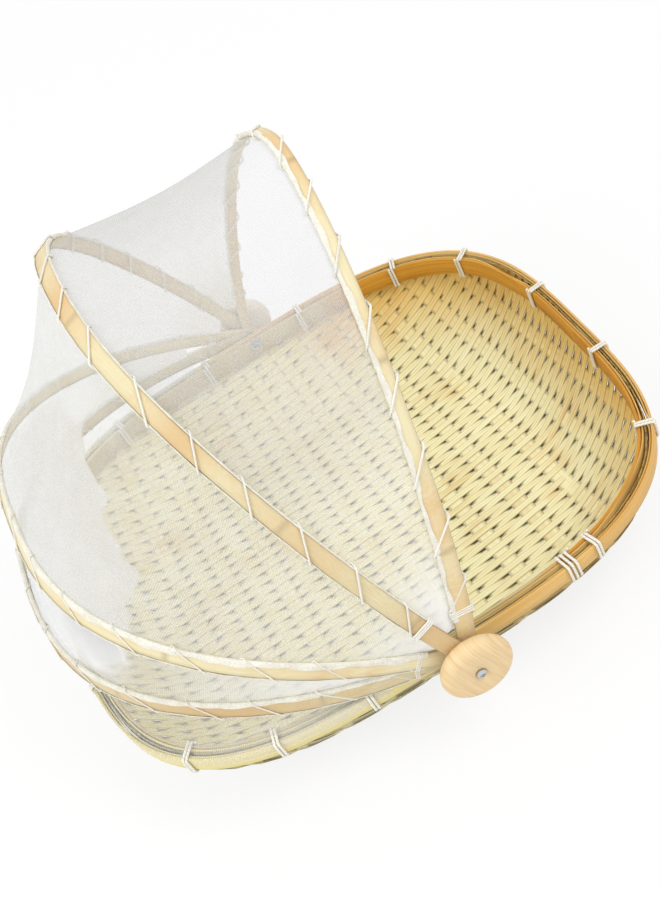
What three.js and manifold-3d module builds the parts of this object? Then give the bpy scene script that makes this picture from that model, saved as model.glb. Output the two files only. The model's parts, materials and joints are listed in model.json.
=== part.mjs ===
// A woven bamboo tray basket with a folding gauze cover on four bent hoops.
// Units are millimetres. +Z is up, and +X points to the end that the cover opens.
// The cover folds back towards -X. The origin is the middle of the flat underside.
import * as THREE from "three";
import { mergeVertices } from "three/addons/utils/BufferGeometryUtils.js";
import Module from "manifold-3d";

const wasm = await Module();
wasm.setup();

// Fits
const GAP = 0.3;
const OVERRUN = 4;

// Basket
const HALF_LENGTH = 180;
const HALF_WIDTH = 155;
const HEIGHT = 60;
const WALL = 2.2;
const BASE_INSET = 50;
const OUTLINE_POWER = 3.33;
const FLARE_POWER = 1.35;
const RIM_STEPS = 64;
const FLARE_STEPS = 5;

// The broad warps of the weave run across the basket and lean a little, by the first angle at the
// folded end and by the second at the open end, in degrees. The fine wefts rise over them and dip
// between them, so a shallow groove inside marks each gap between two warps.
const WARP_PITCH = 29.1;
const WARP_WIDTH = 11.4;
const WARP_LEANS = [0.5, 5];
const WARP_GAP_DEPTH = 0.5;

// Rim bands, inside and outside the woven edge
const OUTER_BAND_THICKNESS = 2.5;
const OUTER_BAND_HEIGHT = 10.5;
const INNER_BAND_THICKNESS = 2.8;
const INNER_BAND_HEIGHT = 13.5;

// Cord ties round the rim. A share is a place along the rim, anticlockwise from the open end.
const CORD_RADIUS = 0.65;
const CORD_SIDES = 5;
const CORD_SEAT = 0.25;
const CORD_LOOP_GAP = 0.7;
const SLOT_MARGIN = 1.2;
const TIES = [
  { share: 0.036, loops: 2 },
  { share: 0.096, loops: 2 },
  { share: 0.153, loops: 2 },
  { share: 0.214, loops: 2 },
  { share: 0.275, loops: 2 },
  { share: 0.336, loops: 2 },
  { share: 0.382, loops: 2 },
  { share: 0.465, loops: 2 },
  { share: 0.535, loops: 2 },
  { share: 0.618, loops: 2 },
  { share: 0.662, loops: 2 },
  { share: 0.706, loops: 2 },
  { share: 0.818, loops: 3 },
  { share: 0.829, loops: 2 },
  { share: 0.908, loops: 2 },
  { share: 0.976, loops: 2 },
];

// Pivots: a screw through a knob, the four hoop ends and the rim, on each long side
const PIVOT_OFFSET = 9.5;
const PIVOT_DROP = 3.5;
const SCREW_RADIUS = 1.5;
const SCREW_TIP = 1.2;
const HEAD_RADIUS = 2.9;
const HEAD_HEIGHT = 2;
const HEAD_SUNK = 0.8;
const RECESS_LENGTH = 3.2;
const RECESS_WIDTH = 0.7;
const RECESS_DEPTH = 0.9;
const KNOB_RADIUS = 20.5;
const KNOB_THICKNESS = 11.2;
const WASHER_RADIUS = 4.5;
const WASHER_THICKNESS = 0.8;
const SPACER_THICKNESS = 1.6;
const NUT_RADIUS = 3.2;
const NUT_HEIGHT = 2.4;
const ROUND_STEPS = 24;
const SMALL_STEPS = 12;

// Hoops: bent strips. An angle is in degrees, from the open end and up over the basket.
const STRIP_WIDTH = 10.5;
const STRIP_THICKNESS = 1.8;
const STRIP_TAIL = 7;
const ARM_STRAIGHT = 22;
const HOOP_STEPS = 44;
const FRONT_REACH = 226;
const NEST_STEP = 2.4;
const RIM_CLEARANCE = 7.5;
const TAIL_WIDTH_SHARE = 0.6;

// Sewing thread round each hoop
const THREAD_RADIUS = 0.4;
const THREAD_SIDES = 4;
const THREAD_SEAT = 0.3;
const THREAD_START = 72;
const THREAD_LOOPS = 15;
const THREAD_CROSSING_SHARE = 0.4;

// Gauze
const GAUZE_THICKNESS = 0.8;
const GAUZE_HEM = 4;
const TAUT_STEPS = 4;
const BAG_STEPS = 8;
const PANEL_SAG = 4;
const CREASE_DEPTH = 1.5;
const SLACK_DEPTH = 2;
const SKIRT_START = 88;

// The rear panel's spare cloth hangs inside as a bag. Its span is in shares of the hoop's length.
const BAG_SAG = 30;
const BAG_DROOP = 54;
const BAG_SPAN = [0.3, 0.82];

const pivotHeight = HEIGHT - PIVOT_DROP;
const innerBandOuter = OUTER_BAND_THICKNESS + GAP + WALL + GAP;
const rimThickness = innerBandOuter + INNER_BAND_THICKNESS;
const wallOuter = OUTER_BAND_THICKNESS + GAP;
const cordReach = CORD_SEAT + CORD_RADIUS;
const slotDepth = Math.max(OUTER_BAND_HEIGHT, INNER_BAND_HEIGHT) + cordReach;
const straightDepth = slotDepth + cordReach + SLOT_MARGIN;
const loopPitch = 2 * CORD_RADIUS + CORD_LOOP_GAP;
const tieTop = HEIGHT + CORD_SEAT + 2 * CORD_RADIUS;
const threadReach = THREAD_SEAT + THREAD_RADIUS;
const threadProud = THREAD_SEAT + 2 * THREAD_RADIUS;
const firstHoopOffset = HALF_WIDTH + GAP + SPACER_THICKNESS + GAP + STRIP_THICKNESS / 2;
const stackPitch = STRIP_THICKNESS + GAP;
const backReach = PIVOT_OFFSET + HALF_LENGTH + RIM_CLEARANCE;

// The places in the stack count outwards from the rim. The powers set how square an arch is.
const HOOPS = {
  a: { place: 2, angle: 77.2, reach: FRONT_REACH, reachPower: 1.4, widthPower: 1.78 },
  b: { place: 3, angle: 110.8, reach: FRONT_REACH + NEST_STEP, reachPower: 1.4, widthPower: 2.45 },
  c: { place: 1, angle: 149.5, reach: backReach + NEST_STEP, reachPower: 1.9, widthPower: 2.7 },
  d: { place: 0, angle: 166.8, reach: backReach, reachPower: 1.9, widthPower: 2.5 },
};
const knobBack = firstHoopOffset + 3 * stackPitch + STRIP_THICKNESS / 2 + GAP;

// Materials
const strawWeave = new THREE.MeshStandardMaterial({ color: 0xe6d3a0, roughness: 0.7 });
const bandBamboo = new THREE.MeshStandardMaterial({ color: 0xc99a55, roughness: 0.55 });
const hoopBamboo = new THREE.MeshStandardMaterial({ color: 0xe3c98c, roughness: 0.55 });
const whiteCord = new THREE.MeshStandardMaterial({ color: 0xf2efe4, roughness: 0.9 });
const whiteGauze = new THREE.MeshStandardMaterial({ color: 0xf4f4f2, roughness: 0.95 });
const turnedWood = new THREE.MeshStandardMaterial({ color: 0xe0b184, roughness: 0.5 });
const plainSteel = new THREE.MeshStandardMaterial({ color: 0xc4c6c8, roughness: 0.3, metalness: 1 });

const part = new THREE.Group();

function addMesh(parent, name, geometry, material) {
  const mesh = new THREE.Mesh(geometry, material);
  mesh.name = name;
  parent.add(mesh);
  return mesh;
}

// Geometry helpers

function signedVolume(points, faces) {
  return faces.reduce((sum, [i, j, k]) => {
    const a = points[i];
    return sum + a.dot(points[j].clone().cross(points[k])) / 6;
  }, 0);
}

function closedGeometry(points, faces) {
  const outward = signedVolume(points, faces) > 0;
  const index = faces.flatMap(([i, j, k]) => (outward ? [i, j, k] : [i, k, j]));
  const geometry = new THREE.BufferGeometry();
  geometry.setAttribute("position", new THREE.Float32BufferAttribute(points.flatMap((p) => p.toArray()), 3));
  geometry.setIndex(index);
  return geometry;
}

// Skins a row of rings that have equal counts. A looped row joins its last ring to its first,
// and any other row gets a flat cap at each end.
function skin(rings, looped = false) {
  const count = rings[0].length;
  const faces = [];
  const spans = looped ? rings.length : rings.length - 1;
  for (let row = 0; row < spans; row += 1) {
    const here = row * count;
    const next = ((row + 1) % rings.length) * count;
    for (let step = 0; step < count; step += 1) {
      const beside = (step + 1) % count;
      faces.push([here + step, here + beside, next + beside]);
      faces.push([here + step, next + beside, next + step]);
    }
  }
  if (!looped) {
    const last = (rings.length - 1) * count;
    for (let step = 1; step < count - 1; step += 1) {
      faces.push([0, step + 1, step]);
      faces.push([last, last + step, last + step + 1]);
    }
  }
  return closedGeometry(rings.flat(), faces);
}

// A tube of constant section along a bent line, mitred at each bend.
function tube(line, radius, sides) {
  const directions = line.slice(1).map((p, i) => p.clone().sub(line[i]).normalize());
  const first = directions[0];
  const helper = Math.abs(first.z) < 0.9 ? new THREE.Vector3(0, 0, 1) : new THREE.Vector3(1, 0, 0);
  const side = helper.cross(first).normalize();
  const up = first.clone().cross(side);
  let spokes = Array.from({ length: sides }, (_, i) => {
    const turn = (2 * Math.PI * i) / sides;
    return side.clone().multiplyScalar(radius * Math.cos(turn)).addScaledVector(up, radius * Math.sin(turn));
  });
  const rings = [spokes.map((spoke) => spoke.clone().add(line[0]))];
  for (let i = 1; i < line.length - 1; i += 1) {
    const before = directions[i - 1];
    const after = directions[i];
    const across = before.clone().add(after).normalize();
    const mitred = spokes.map((s) => s.clone().addScaledVector(before, -s.dot(across) / before.dot(across)));
    rings.push(mitred.map((spoke) => spoke.clone().add(line[i])));
    spokes = mitred.map((s) => s.clone().addScaledVector(after, -s.dot(after)));
  }
  rings.push(spokes.map((spoke) => spoke.clone().add(line[line.length - 1])));
  return skin(rings);
}

function solidOf(geometry) {
  const bare = geometry.clone();
  bare.deleteAttribute("normal");
  bare.deleteAttribute("uv");
  const merged = mergeVertices(bare);
  return new wasm.Manifold(new wasm.Mesh({
    numProp: 3,
    vertProperties: new Float32Array(merged.attributes.position.array),
    triVerts: new Uint32Array(merged.index.array),
  }));
}

function cutSolids(geometry, solids) {
  const body = solids.reduce((rest, solid) => rest.subtract(solid), solidOf(geometry));
  const mesh = body.getMesh();
  const result = new THREE.BufferGeometry();
  result.setAttribute("position", new THREE.BufferAttribute(new Float32Array(mesh.vertProperties), 3));
  result.setIndex(new THREE.BufferAttribute(new Uint32Array(mesh.triVerts), 1));
  return result;
}

function cut(geometry, cutters) {
  return cutSolids(geometry, cutters.map(solidOf));
}

// A hole of the screw's size with clearance, along Y, through what lies between two distances.
function screwHole(x, z, from, to) {
  const hole = new THREE.CylinderGeometry(SCREW_RADIUS + GAP, SCREW_RADIUS + GAP, to - from, SMALL_STEPS);
  hole.translate(x, (from + to) / 2, z);
  return hole;
}

function leastSelfGap(line, radius, loopCount) {
  const samples = [];
  const shares = [0, 0.25, 0.5, 0.75];
  let travelled = 0;
  for (let i = 0; i < line.length - 1; i += 1) {
    const span = line[i].distanceTo(line[i + 1]);
    shares.forEach((share) => {
      samples.push({ at: line[i].clone().lerp(line[i + 1], share), along: travelled + span * share });
    });
    travelled += span;
  }
  const halfLoop = travelled / loopCount / 2;
  let least = Infinity;
  samples.forEach((one, i) => samples.slice(i + 1).forEach((other) => {
    if (other.along - one.along > halfLoop) {
      least = Math.min(least, one.at.distanceTo(other.at));
    }
  }));
  return least - 2 * radius;
}

// Basket outline: a squared ellipse, cut into even steps along its length

function outlineAt(turn, inset, z) {
  const cos = Math.cos(turn);
  const sin = Math.sin(turn);
  const x = (HALF_LENGTH - inset) * Math.sign(cos) * Math.abs(cos) ** (2 / OUTLINE_POWER);
  const y = (HALF_WIDTH - inset) * Math.sign(sin) * Math.abs(sin) ** (2 / OUTLINE_POWER);
  return new THREE.Vector3(x, y, z);
}

function evenTurns(count) {
  const fine = 200 * count;
  const lengths = [0];
  for (let i = 1; i <= fine; i += 1) {
    const here = outlineAt((2 * Math.PI * i) / fine, 0, 0);
    const before = outlineAt((2 * Math.PI * (i - 1)) / fine, 0, 0);
    lengths.push(lengths[i - 1] + here.distanceTo(before));
  }
  const turns = [];
  let reached = 0;
  for (let step = 0; step < count; step += 1) {
    while (lengths[reached] < (lengths[fine] * step) / count) {
      reached += 1;
    }
    turns.push((2 * Math.PI * reached) / fine);
  }
  return turns;
}

const rimTurns = evenTurns(RIM_STEPS);

function outlineRing(inset, z) {
  return rimTurns.map((turn) => outlineAt(turn, inset, z));
}

// The middle of the rim's straight step nearest to a share of the way round
function rimSpot(share) {
  const step = Math.floor(share * RIM_STEPS) % RIM_STEPS;
  const start = rimTurns[step];
  const end = rimTurns[(step + 1) % RIM_STEPS];
  const along = outlineAt(end, 0, 0).sub(outlineAt(start, 0, 0)).normalize();
  const outward = along.clone().cross(new THREE.Vector3(0, 0, 1));
  const middle = (inset, z) => outlineAt(start, inset, z).lerp(outlineAt(end, inset, z), 0.5);
  const depth = (inset) => middle(0, 0).sub(middle(inset, 0)).dot(outward);
  return { along, outward, middle, depth };
}

// Basket shell and rim

function flareRing(share, inset, drop) {
  const turn = (share * Math.PI) / 2;
  const inward = BASE_INSET * (1 - Math.cos(turn) ** (2 / FLARE_POWER));
  const down = (drop - straightDepth) * Math.sin(turn) ** (2 / FLARE_POWER);
  return outlineRing(inset + inward, HEIGHT - straightDepth - down);
}

function tieSlot(spot, loops) {
  const width = loops * loopPitch + 2 * cordReach;
  const slot = new THREE.BoxGeometry(width, WALL + 2 * OVERRUN, 2 * cordReach);
  const depth = spot.depth(wallOuter + WALL / 2);
  const centre = spot.middle(0, HEIGHT - slotDepth).addScaledVector(spot.outward, -depth);
  slot.rotateZ(Math.atan2(spot.along.y, spot.along.x));
  slot.translate(centre.x, centre.y, centre.z);
  return slot;
}

function rimHoles() {
  const from = HALF_WIDTH - rimThickness - OVERRUN;
  const to = HALF_WIDTH + OVERRUN;
  return [screwHole(PIVOT_OFFSET, pivotHeight, from, to), screwHole(PIVOT_OFFSET, pivotHeight, -to, -from)];
}

// The flared part's surface at a depth into the wall, from the rim down
function flareRings(inset, drop) {
  return Array.from({ length: FLARE_STEPS + 1 }, (_, i) => flareRing(i / FLARE_STEPS, inset, drop));
}

// Upright slabs, one in each gap between two warps
function warpGaps() {
  const eachWay = Math.floor((HALF_LENGTH - BASE_INSET / 2) / WARP_PITCH);
  const places = Array.from({ length: 2 * eachWay }, (_, i) => (i - eachWay + 0.5) * WARP_PITCH);
  return places.map((place) => {
    const slab = new THREE.BoxGeometry(WARP_PITCH - WARP_WIDTH, 2 * HALF_LENGTH, 2 * HEIGHT + OVERRUN);
    const lean = THREE.MathUtils.mapLinear(place, -HALF_LENGTH, HALF_LENGTH, ...WARP_LEANS);
    slab.rotateZ(THREE.MathUtils.degToRad(lean));
    slab.translate(place, 0, 0);
    return slab;
  });
}

// The slabs trimmed to the hollow of the basket and the grooves' depth into its wall and floor
function warpGrooves() {
  const innerFace = WALL - WARP_GAP_DEPTH;
  const hollow = solidOf(skin(flareRings(wallOuter + innerFace, HEIGHT - innerFace)));
  return warpGaps().map((slab) => hollow.intersect(solidOf(slab)));
}

function basketBody() {
  const outside = flareRings(wallOuter, HEIGHT);
  const inside = flareRings(wallOuter + WALL, HEIGHT - WALL);
  const rings = [
    ...outside.reverse(),
    outlineRing(wallOuter, HEIGHT - GAP),
    outlineRing(wallOuter + WALL, HEIGHT - GAP),
    ...inside,
  ];
  const slots = TIES.map((place) => tieSlot(rimSpot(place.share), place.loops));
  const holes = [...rimHoles(), ...slots].map(solidOf);
  return cutSolids(skin(rings), [...holes, ...warpGrooves()]);
}

function rimBand(inset, thickness, height) {
  const low = HEIGHT - height;
  const outside = rimTurns.map((turn) => [outlineAt(turn, inset, low), outlineAt(turn, inset, HEIGHT)]);
  const inside = rimTurns.map((turn) => [
    outlineAt(turn, inset + thickness, HEIGHT),
    outlineAt(turn, inset + thickness, low),
  ]);
  return cut(skin(outside.map((pair, i) => [...pair, ...inside[i]]), true), rimHoles());
}

// One tie: loops of cord over both bands and through the slot below them
function rimTie(spot, loops) {
  const wallDepth = spot.depth(wallOuter);
  const rimDepth = spot.depth(rimThickness);
  const corners = [
    [-rimDepth - cordReach, cordReach],
    [cordReach, cordReach],
    [cordReach, -OUTER_BAND_HEIGHT - cordReach],
    [-wallDepth + cordReach, -slotDepth],
    [-rimDepth - cordReach, -slotDepth],
  ];
  const total = loops * corners.length;
  const line = Array.from({ length: total + 1 }, (_, i) => {
    const [out, up] = corners[i % corners.length];
    const sideways = (i / total - 0.5) * loops * loopPitch;
    const point = spot.middle(0, HEIGHT + up).addScaledVector(spot.outward, out);
    return point.addScaledVector(spot.along, sideways);
  });
  return { geometry: tube(line, CORD_RADIUS, CORD_SIDES), gap: leastSelfGap(line, CORD_RADIUS, loops) };
}

// Hoops. In its own plane a hoop's reach is along X, its width along Y and its strip's width along Z.

function hoopOffset(hoop) {
  return firstHoopOffset + hoop.place * stackPitch;
}

// Half of the arch, from the crown at 0 to the straight arm's end at 1
function archPoint(hoop, share) {
  const turn = (share * Math.PI) / 2;
  const reach = ARM_STRAIGHT + (hoop.reach - ARM_STRAIGHT) * Math.cos(turn) ** (2 / hoop.reachPower);
  return new THREE.Vector2(reach, hoopOffset(hoop) * Math.sin(turn) ** (2 / hoop.widthPower));
}

// Points at even lengths along the hoop, from the arm on -Y over the crown to the arm on +Y
function hoopLine(hoop, count, startReach) {
  const fine = 40 * HOOP_STEPS;
  const half = Array.from({ length: fine + 1 }, (_, i) => archPoint(hoop, i / fine));
  const straight = [new THREE.Vector2(0, hoopOffset(hoop))];
  const side = [...half, ...straight];
  const mirrored = side.slice(1).reverse().map((p) => new THREE.Vector2(p.x, -p.y));
  const whole = [...mirrored, ...side];
  const lengths = [0];
  whole.slice(1).forEach((p, i) => lengths.push(lengths[i] + p.distanceTo(whole[i])));
  const total = lengths[lengths.length - 1];
  const skipped = skippedLength(whole, lengths, startReach);
  return Array.from({ length: count + 1 }, (_, i) => {
    const wanted = skipped + ((total - 2 * skipped) * i) / count;
    return pointAtLength(whole, lengths, wanted);
  });
}

function skippedLength(points, lengths, startReach) {
  const first = points.findIndex((p) => p.x >= startReach);
  if (first < 1) {
    return 0;
  }
  const share = (startReach - points[first - 1].x) / (points[first].x - points[first - 1].x);
  return lengths[first - 1] + share * (lengths[first] - lengths[first - 1]);
}

function pointAtLength(points, lengths, wanted) {
  let i = lengths.findIndex((length) => length >= wanted);
  i = i < 0 ? points.length - 1 : Math.max(i, 1);
  const share = (wanted - lengths[i - 1]) / (lengths[i] - lengths[i - 1]);
  return points[i - 1].clone().lerp(points[i], share);
}

// Outward direction in the hoop's plane at each point of a line
function lineNormals(line) {
  return line.map((_, i) => {
    const before = line[Math.max(i - 1, 0)];
    const after = line[Math.min(i + 1, line.length - 1)];
    const along = after.clone().sub(before).normalize();
    return new THREE.Vector2(along.y, -along.x);
  });
}

function stripRing(point, normal, halfWidth) {
  const ring = [[1, -1], [1, 1], [-1, 1], [-1, -1]];
  return ring.map(([out, up]) => {
    const flat = point.clone().addScaledVector(normal, (out * STRIP_THICKNESS) / 2);
    return new THREE.Vector3(flat.x, flat.y, up * halfWidth);
  });
}

function hoopStrip(hoop) {
  const offset = hoopOffset(hoop);
  const arch = hoopLine(hoop, HOOP_STEPS, ARM_STRAIGHT);
  const end = (x, y) => new THREE.Vector2(x, y);
  const line = [
    end(-STRIP_TAIL, -offset), end(-STRIP_TAIL / 2, -offset), ...arch,
    end(-STRIP_TAIL / 2, offset), end(-STRIP_TAIL, offset),
  ];
  const normals = lineNormals(line);
  const flatEnds = [0, 1, 2, line.length - 3, line.length - 2, line.length - 1];
  flatEnds.forEach((i) => normals[i].set(0, Math.sign(line[i].y)));
  const rings = line.map((point, i) => {
    const atTip = i === 0 || i === line.length - 1;
    return stripRing(point, normals[i], (STRIP_WIDTH / 2) * (atTip ? TAIL_WIDTH_SHARE : 1));
  });
  const holes = [-1, 1].map((side) => {
    return screwHole(0, 0, side * offset - STRIP_THICKNESS, side * offset + STRIP_THICKNESS);
  });
  return cut(skin(rings), holes);
}

// Thread wound round the strip: it crosses the two wide faces aslant and rounds the edges
function hoopStitching(hoop) {
  const corners = [[1, 1], [1, -1], [-1, -1], [-1, 1]];
  const edgeShare = 0.5 - THREAD_CROSSING_SHARE;
  const cornerShares = [0, THREAD_CROSSING_SHARE, 0.5, 0.5 + THREAD_CROSSING_SHARE];
  const arch = hoopLine(hoop, HOOP_STEPS, THREAD_START);
  const normals = lineNormals(arch);
  const places = [];
  for (let loop = 0; loop < THREAD_LOOPS; loop += 1) {
    cornerShares.forEach((share, i) => {
      places.push({ at: (loop + share) / THREAD_LOOPS, corner: corners[i] });
    });
  }
  places.push({ at: 1 - edgeShare / THREAD_LOOPS, corner: corners[0] });
  const line = places.map(({ at, corner }) => {
    const step = Math.min(Math.floor(at * HOOP_STEPS), HOOP_STEPS - 1);
    const share = at * HOOP_STEPS - step;
    const point = arch[step].clone().lerp(arch[step + 1], share);
    const normal = normals[step].clone().lerp(normals[step + 1], share).normalize();
    point.addScaledVector(normal, corner[0] * (STRIP_THICKNESS / 2 + threadReach));
    return new THREE.Vector3(point.x, point.y, corner[1] * (STRIP_WIDTH / 2 + threadReach));
  });
  const gap = leastSelfGap(line, THREAD_RADIUS, THREAD_LOOPS);
  return { geometry: tube(line, THREAD_RADIUS, THREAD_SIDES), gap };
}

// Gauze panels

// The line beside a hoop where a panel is sewn on: side 1 faces the folded end, and -1 the open end
function sewnEdge(hoop, side, count, startReach) {
  const angle = THREE.MathUtils.degToRad(hoop.angle);
  const beside = side * (STRIP_WIDTH / 2 + threadProud + GAP + GAUZE_THICKNESS / 2);
  return hoopLine(hoop, count, startReach).map((p) => new THREE.Vector3(
    PIVOT_OFFSET + p.x * Math.cos(angle) - beside * Math.sin(angle),
    p.y,
    pivotHeight + p.x * Math.sin(angle) + beside * Math.cos(angle),
  ));
}

// How much of the bag there is at a share of the way along the hoop
function bagShare(along) {
  const [from, to] = BAG_SPAN;
  const across = THREE.MathUtils.clamp((along - from) / (to - from), 0, 1);
  return Math.sin(Math.PI * across) ** 2;
}

// A thin closed sheet between two lines. sag draws its middle towards the pivots, folds are waves
// of the given depth across it, and bag is the share of the spare cloth that it carries.
function sheetBetween(from, to, { steps, sag, folds, foldDepth, bag }) {
  const count = from.length - 1;
  const grid = from.map((start, i) => Array.from({ length: steps + 1 }, (_, j) => {
    const share = j / steps;
    const belly = Math.sin(Math.PI * share);
    const point = start.clone().lerp(to[i], share);
    const inward = new THREE.Vector3(PIVOT_OFFSET - point.x, 0, pivotHeight - point.z).normalize();
    const crown = Math.sin((Math.PI * i) / count);
    const wave = Math.cos((2 * Math.PI * folds * i) / count);
    const hanging = bag * bagShare(i / count);
    point.addScaledVector(inward, belly * (crown * (sag + foldDepth * wave) + BAG_SAG * hanging));
    point.z -= BAG_DROOP * hanging * belly ** 2;
    return point;
  }));
  const normals = grid.map((row, i) => row.map((_, j) => {
    const along = grid[Math.min(i + 1, count)][j].clone().sub(grid[Math.max(i - 1, 0)][j]);
    const across = grid[i][Math.min(j + 1, steps)].clone().sub(grid[i][Math.max(j - 1, 0)]);
    return along.cross(across).normalize();
  }));
  const layer = (side) => grid.map((row, i) => row.map((p, j) => {
    return p.clone().addScaledVector(normals[i][j], (side * GAUZE_THICKNESS) / 2);
  }));
  const above = layer(1);
  const below = layer(-1);
  const rings = above.map((row, i) => [...row, ...below[i].reverse()]);
  return sheetSkin(rings);
}

// Like skin, with end caps made of the strips between the two layers
function sheetSkin(rings) {
  const count = rings[0].length;
  const faces = [];
  for (let row = 0; row < rings.length - 1; row += 1) {
    for (let step = 0; step < count; step += 1) {
      const beside = (step + 1) % count;
      const here = row * count;
      const next = here + count;
      faces.push([here + step, here + beside, next + beside]);
      faces.push([here + step, next + beside, next + step]);
    }
  }
  [0, (rings.length - 1) * count].forEach((base, end) => {
    for (let step = 0; step < count / 2 - 1; step += 1) {
      const cap = [base + step, base + step + 1, base + count - 2 - step, base + count - 1 - step];
      const [a, b, c, d] = end ? cap : [...cap].reverse();
      faces.push([a, b, c], [a, c, d]);
    }
  });
  return closedGeometry(rings.flat(), faces);
}

// A panel starts where the room between its two hoops is as wide as a hem
function gauzePanel(near, far, steps, form) {
  const spread = THREE.MathUtils.degToRad(far.angle - near.angle);
  const start = (STRIP_WIDTH + 2 * threadProud + 2 * GAP + GAUZE_HEM) / spread;
  return sheetBetween(sewnEdge(near, 1, steps, start), sewnEdge(far, -1, steps, start), form);
}

// The skirt runs from the lowest hoop to the top of the rim round the folded end
function gauzeSkirt(hoop, steps, form) {
  const low = tieTop + GAP + GAUZE_THICKNESS / 2;
  const inset = rimThickness / 2;
  const fineSteps = 40 * steps;
  const turnStep = (2 * Math.PI) / fineSteps;
  const fine = Array.from({ length: fineSteps }, (_, i) => outlineAt(turnStep * i, inset, low));
  const around = fine.filter((p) => p.x < PIVOT_OFFSET - SKIRT_START).reverse();
  const lengths = [0];
  around.slice(1).forEach((p, i) => lengths.push(lengths[i] + p.distanceTo(around[i])));
  const total = lengths[lengths.length - 1];
  const rim = Array.from({ length: steps + 1 }, (_, i) => {
    return pointAtLength(around, lengths, (total * i) / steps);
  });
  return sheetBetween(sewnEdge(hoop, 1, steps, SKIRT_START), rim, form);
}

// Pivot hardware, turned about Y, with the outside of the far pivot towards +Y

function turned(profile, steps) {
  return new THREE.LatheGeometry(profile.map(([radius, y]) => new THREE.Vector2(radius, y)), steps);
}

function ringSection(inner, outer, low, high) {
  return [[inner, low], [outer, low], [outer, high], [inner, high], [inner, low]];
}

function knob() {
  const edge = KNOB_THICKNESS / 2;
  const front = knobBack + KNOB_THICKNESS;
  const seat = HEAD_RADIUS + GAP;
  const bore = SCREW_RADIUS + GAP;
  const arcSteps = 6;
  const edgeArc = Array.from({ length: arcSteps + 1 }, (_, i) => {
    const turn = (Math.PI * i) / arcSteps - Math.PI / 2;
    return [KNOB_RADIUS - edge + edge * Math.cos(turn), knobBack + edge + edge * Math.sin(turn)];
  });
  return turned([
    [bore, knobBack],
    ...edgeArc,
    [seat, front],
    [seat, front - HEAD_SUNK],
    [bore, front - HEAD_SUNK],
    [bore, knobBack],
  ], ROUND_STEPS);
}

const washerOuterFace = HALF_WIDTH - rimThickness - GAP;
const nutOuterFace = washerOuterFace - WASHER_THICKNESS - GAP;

function screw() {
  const headBase = knobBack + KNOB_THICKNESS - HEAD_SUNK + GAP;
  const headTop = headBase + HEAD_HEIGHT;
  const body = turned([
    [0, nutOuterFace - NUT_HEIGHT - SCREW_TIP],
    [SCREW_RADIUS, nutOuterFace - NUT_HEIGHT - SCREW_TIP],
    [SCREW_RADIUS, headBase],
    [HEAD_RADIUS, headBase],
    [HEAD_RADIUS, headBase + HEAD_HEIGHT / 2],
    [HEAD_RADIUS * 0.6, headTop],
    [0, headTop],
  ], SMALL_STEPS);
  const slots = [[RECESS_LENGTH, RECESS_WIDTH], [RECESS_WIDTH, RECESS_LENGTH]].map(([x, z]) => {
    const slot = new THREE.BoxGeometry(x, 2 * RECESS_DEPTH, z);
    return slot.translate(0, headTop, 0);
  });
  return cut(body, slots);
}

function nut() {
  const body = new THREE.CylinderGeometry(NUT_RADIUS, NUT_RADIUS, NUT_HEIGHT, 6);
  body.translate(0, nutOuterFace - NUT_HEIGHT / 2, 0);
  return cut(body, [screwHole(0, 0, nutOuterFace - NUT_HEIGHT - GAP, nutOuterFace + GAP)]);
}

function washer(low, thickness) {
  return turned(ringSection(SCREW_RADIUS + GAP, WASHER_RADIUS, low, low + thickness), SMALL_STEPS);
}

// Assembly

addMesh(part, "basket_body", basketBody(), strawWeave);
addMesh(part, "rim_outer_band", rimBand(0, OUTER_BAND_THICKNESS, OUTER_BAND_HEIGHT), bandBamboo);
addMesh(part, "rim_inner_band", rimBand(innerBandOuter, INNER_BAND_THICKNESS, INNER_BAND_HEIGHT), bandBamboo);

const windingGaps = [];
TIES.forEach((place, i) => {
  const { geometry, gap } = rimTie(rimSpot(place.share), place.loops);
  addMesh(part, `rim_tie_${i + 1}`, geometry, whiteCord);
  windingGaps.push(gap);
});

Object.entries(HOOPS).forEach(([letter, hoop]) => {
  const carrier = new THREE.Group();
  carrier.position.set(PIVOT_OFFSET, 0, pivotHeight);
  carrier.rotation.y = -THREE.MathUtils.degToRad(hoop.angle);
  const { geometry, gap } = hoopStitching(hoop);
  addMesh(carrier, `hoop_${letter}`, hoopStrip(hoop), hoopBamboo);
  addMesh(carrier, `hoop_${letter}_stitching`, geometry, whiteCord);
  windingGaps.push(gap);
  part.add(carrier);
});

const { a, b, c, d } = HOOPS;
const TAUT = { steps: TAUT_STEPS, sag: PANEL_SAG, folds: 0, foldDepth: 0, bag: 0 };
const BAGGED = { steps: BAG_STEPS, sag: PANEL_SAG, folds: 9, foldDepth: CREASE_DEPTH, bag: 1 };
const SLACK = { steps: TAUT_STEPS, sag: PANEL_SAG, folds: 11, foldDepth: SLACK_DEPTH, bag: 0 };
addMesh(part, "gauze_front_panel", gauzePanel(a, b, 32, TAUT), whiteGauze);
addMesh(part, "gauze_middle_panel", gauzePanel(b, c, 32, TAUT), whiteGauze);
addMesh(part, "gauze_rear_panel", gauzePanel(c, d, 45, BAGGED), whiteGauze);
addMesh(part, "gauze_skirt", gauzeSkirt(d, 44, SLACK), whiteGauze);

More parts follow.
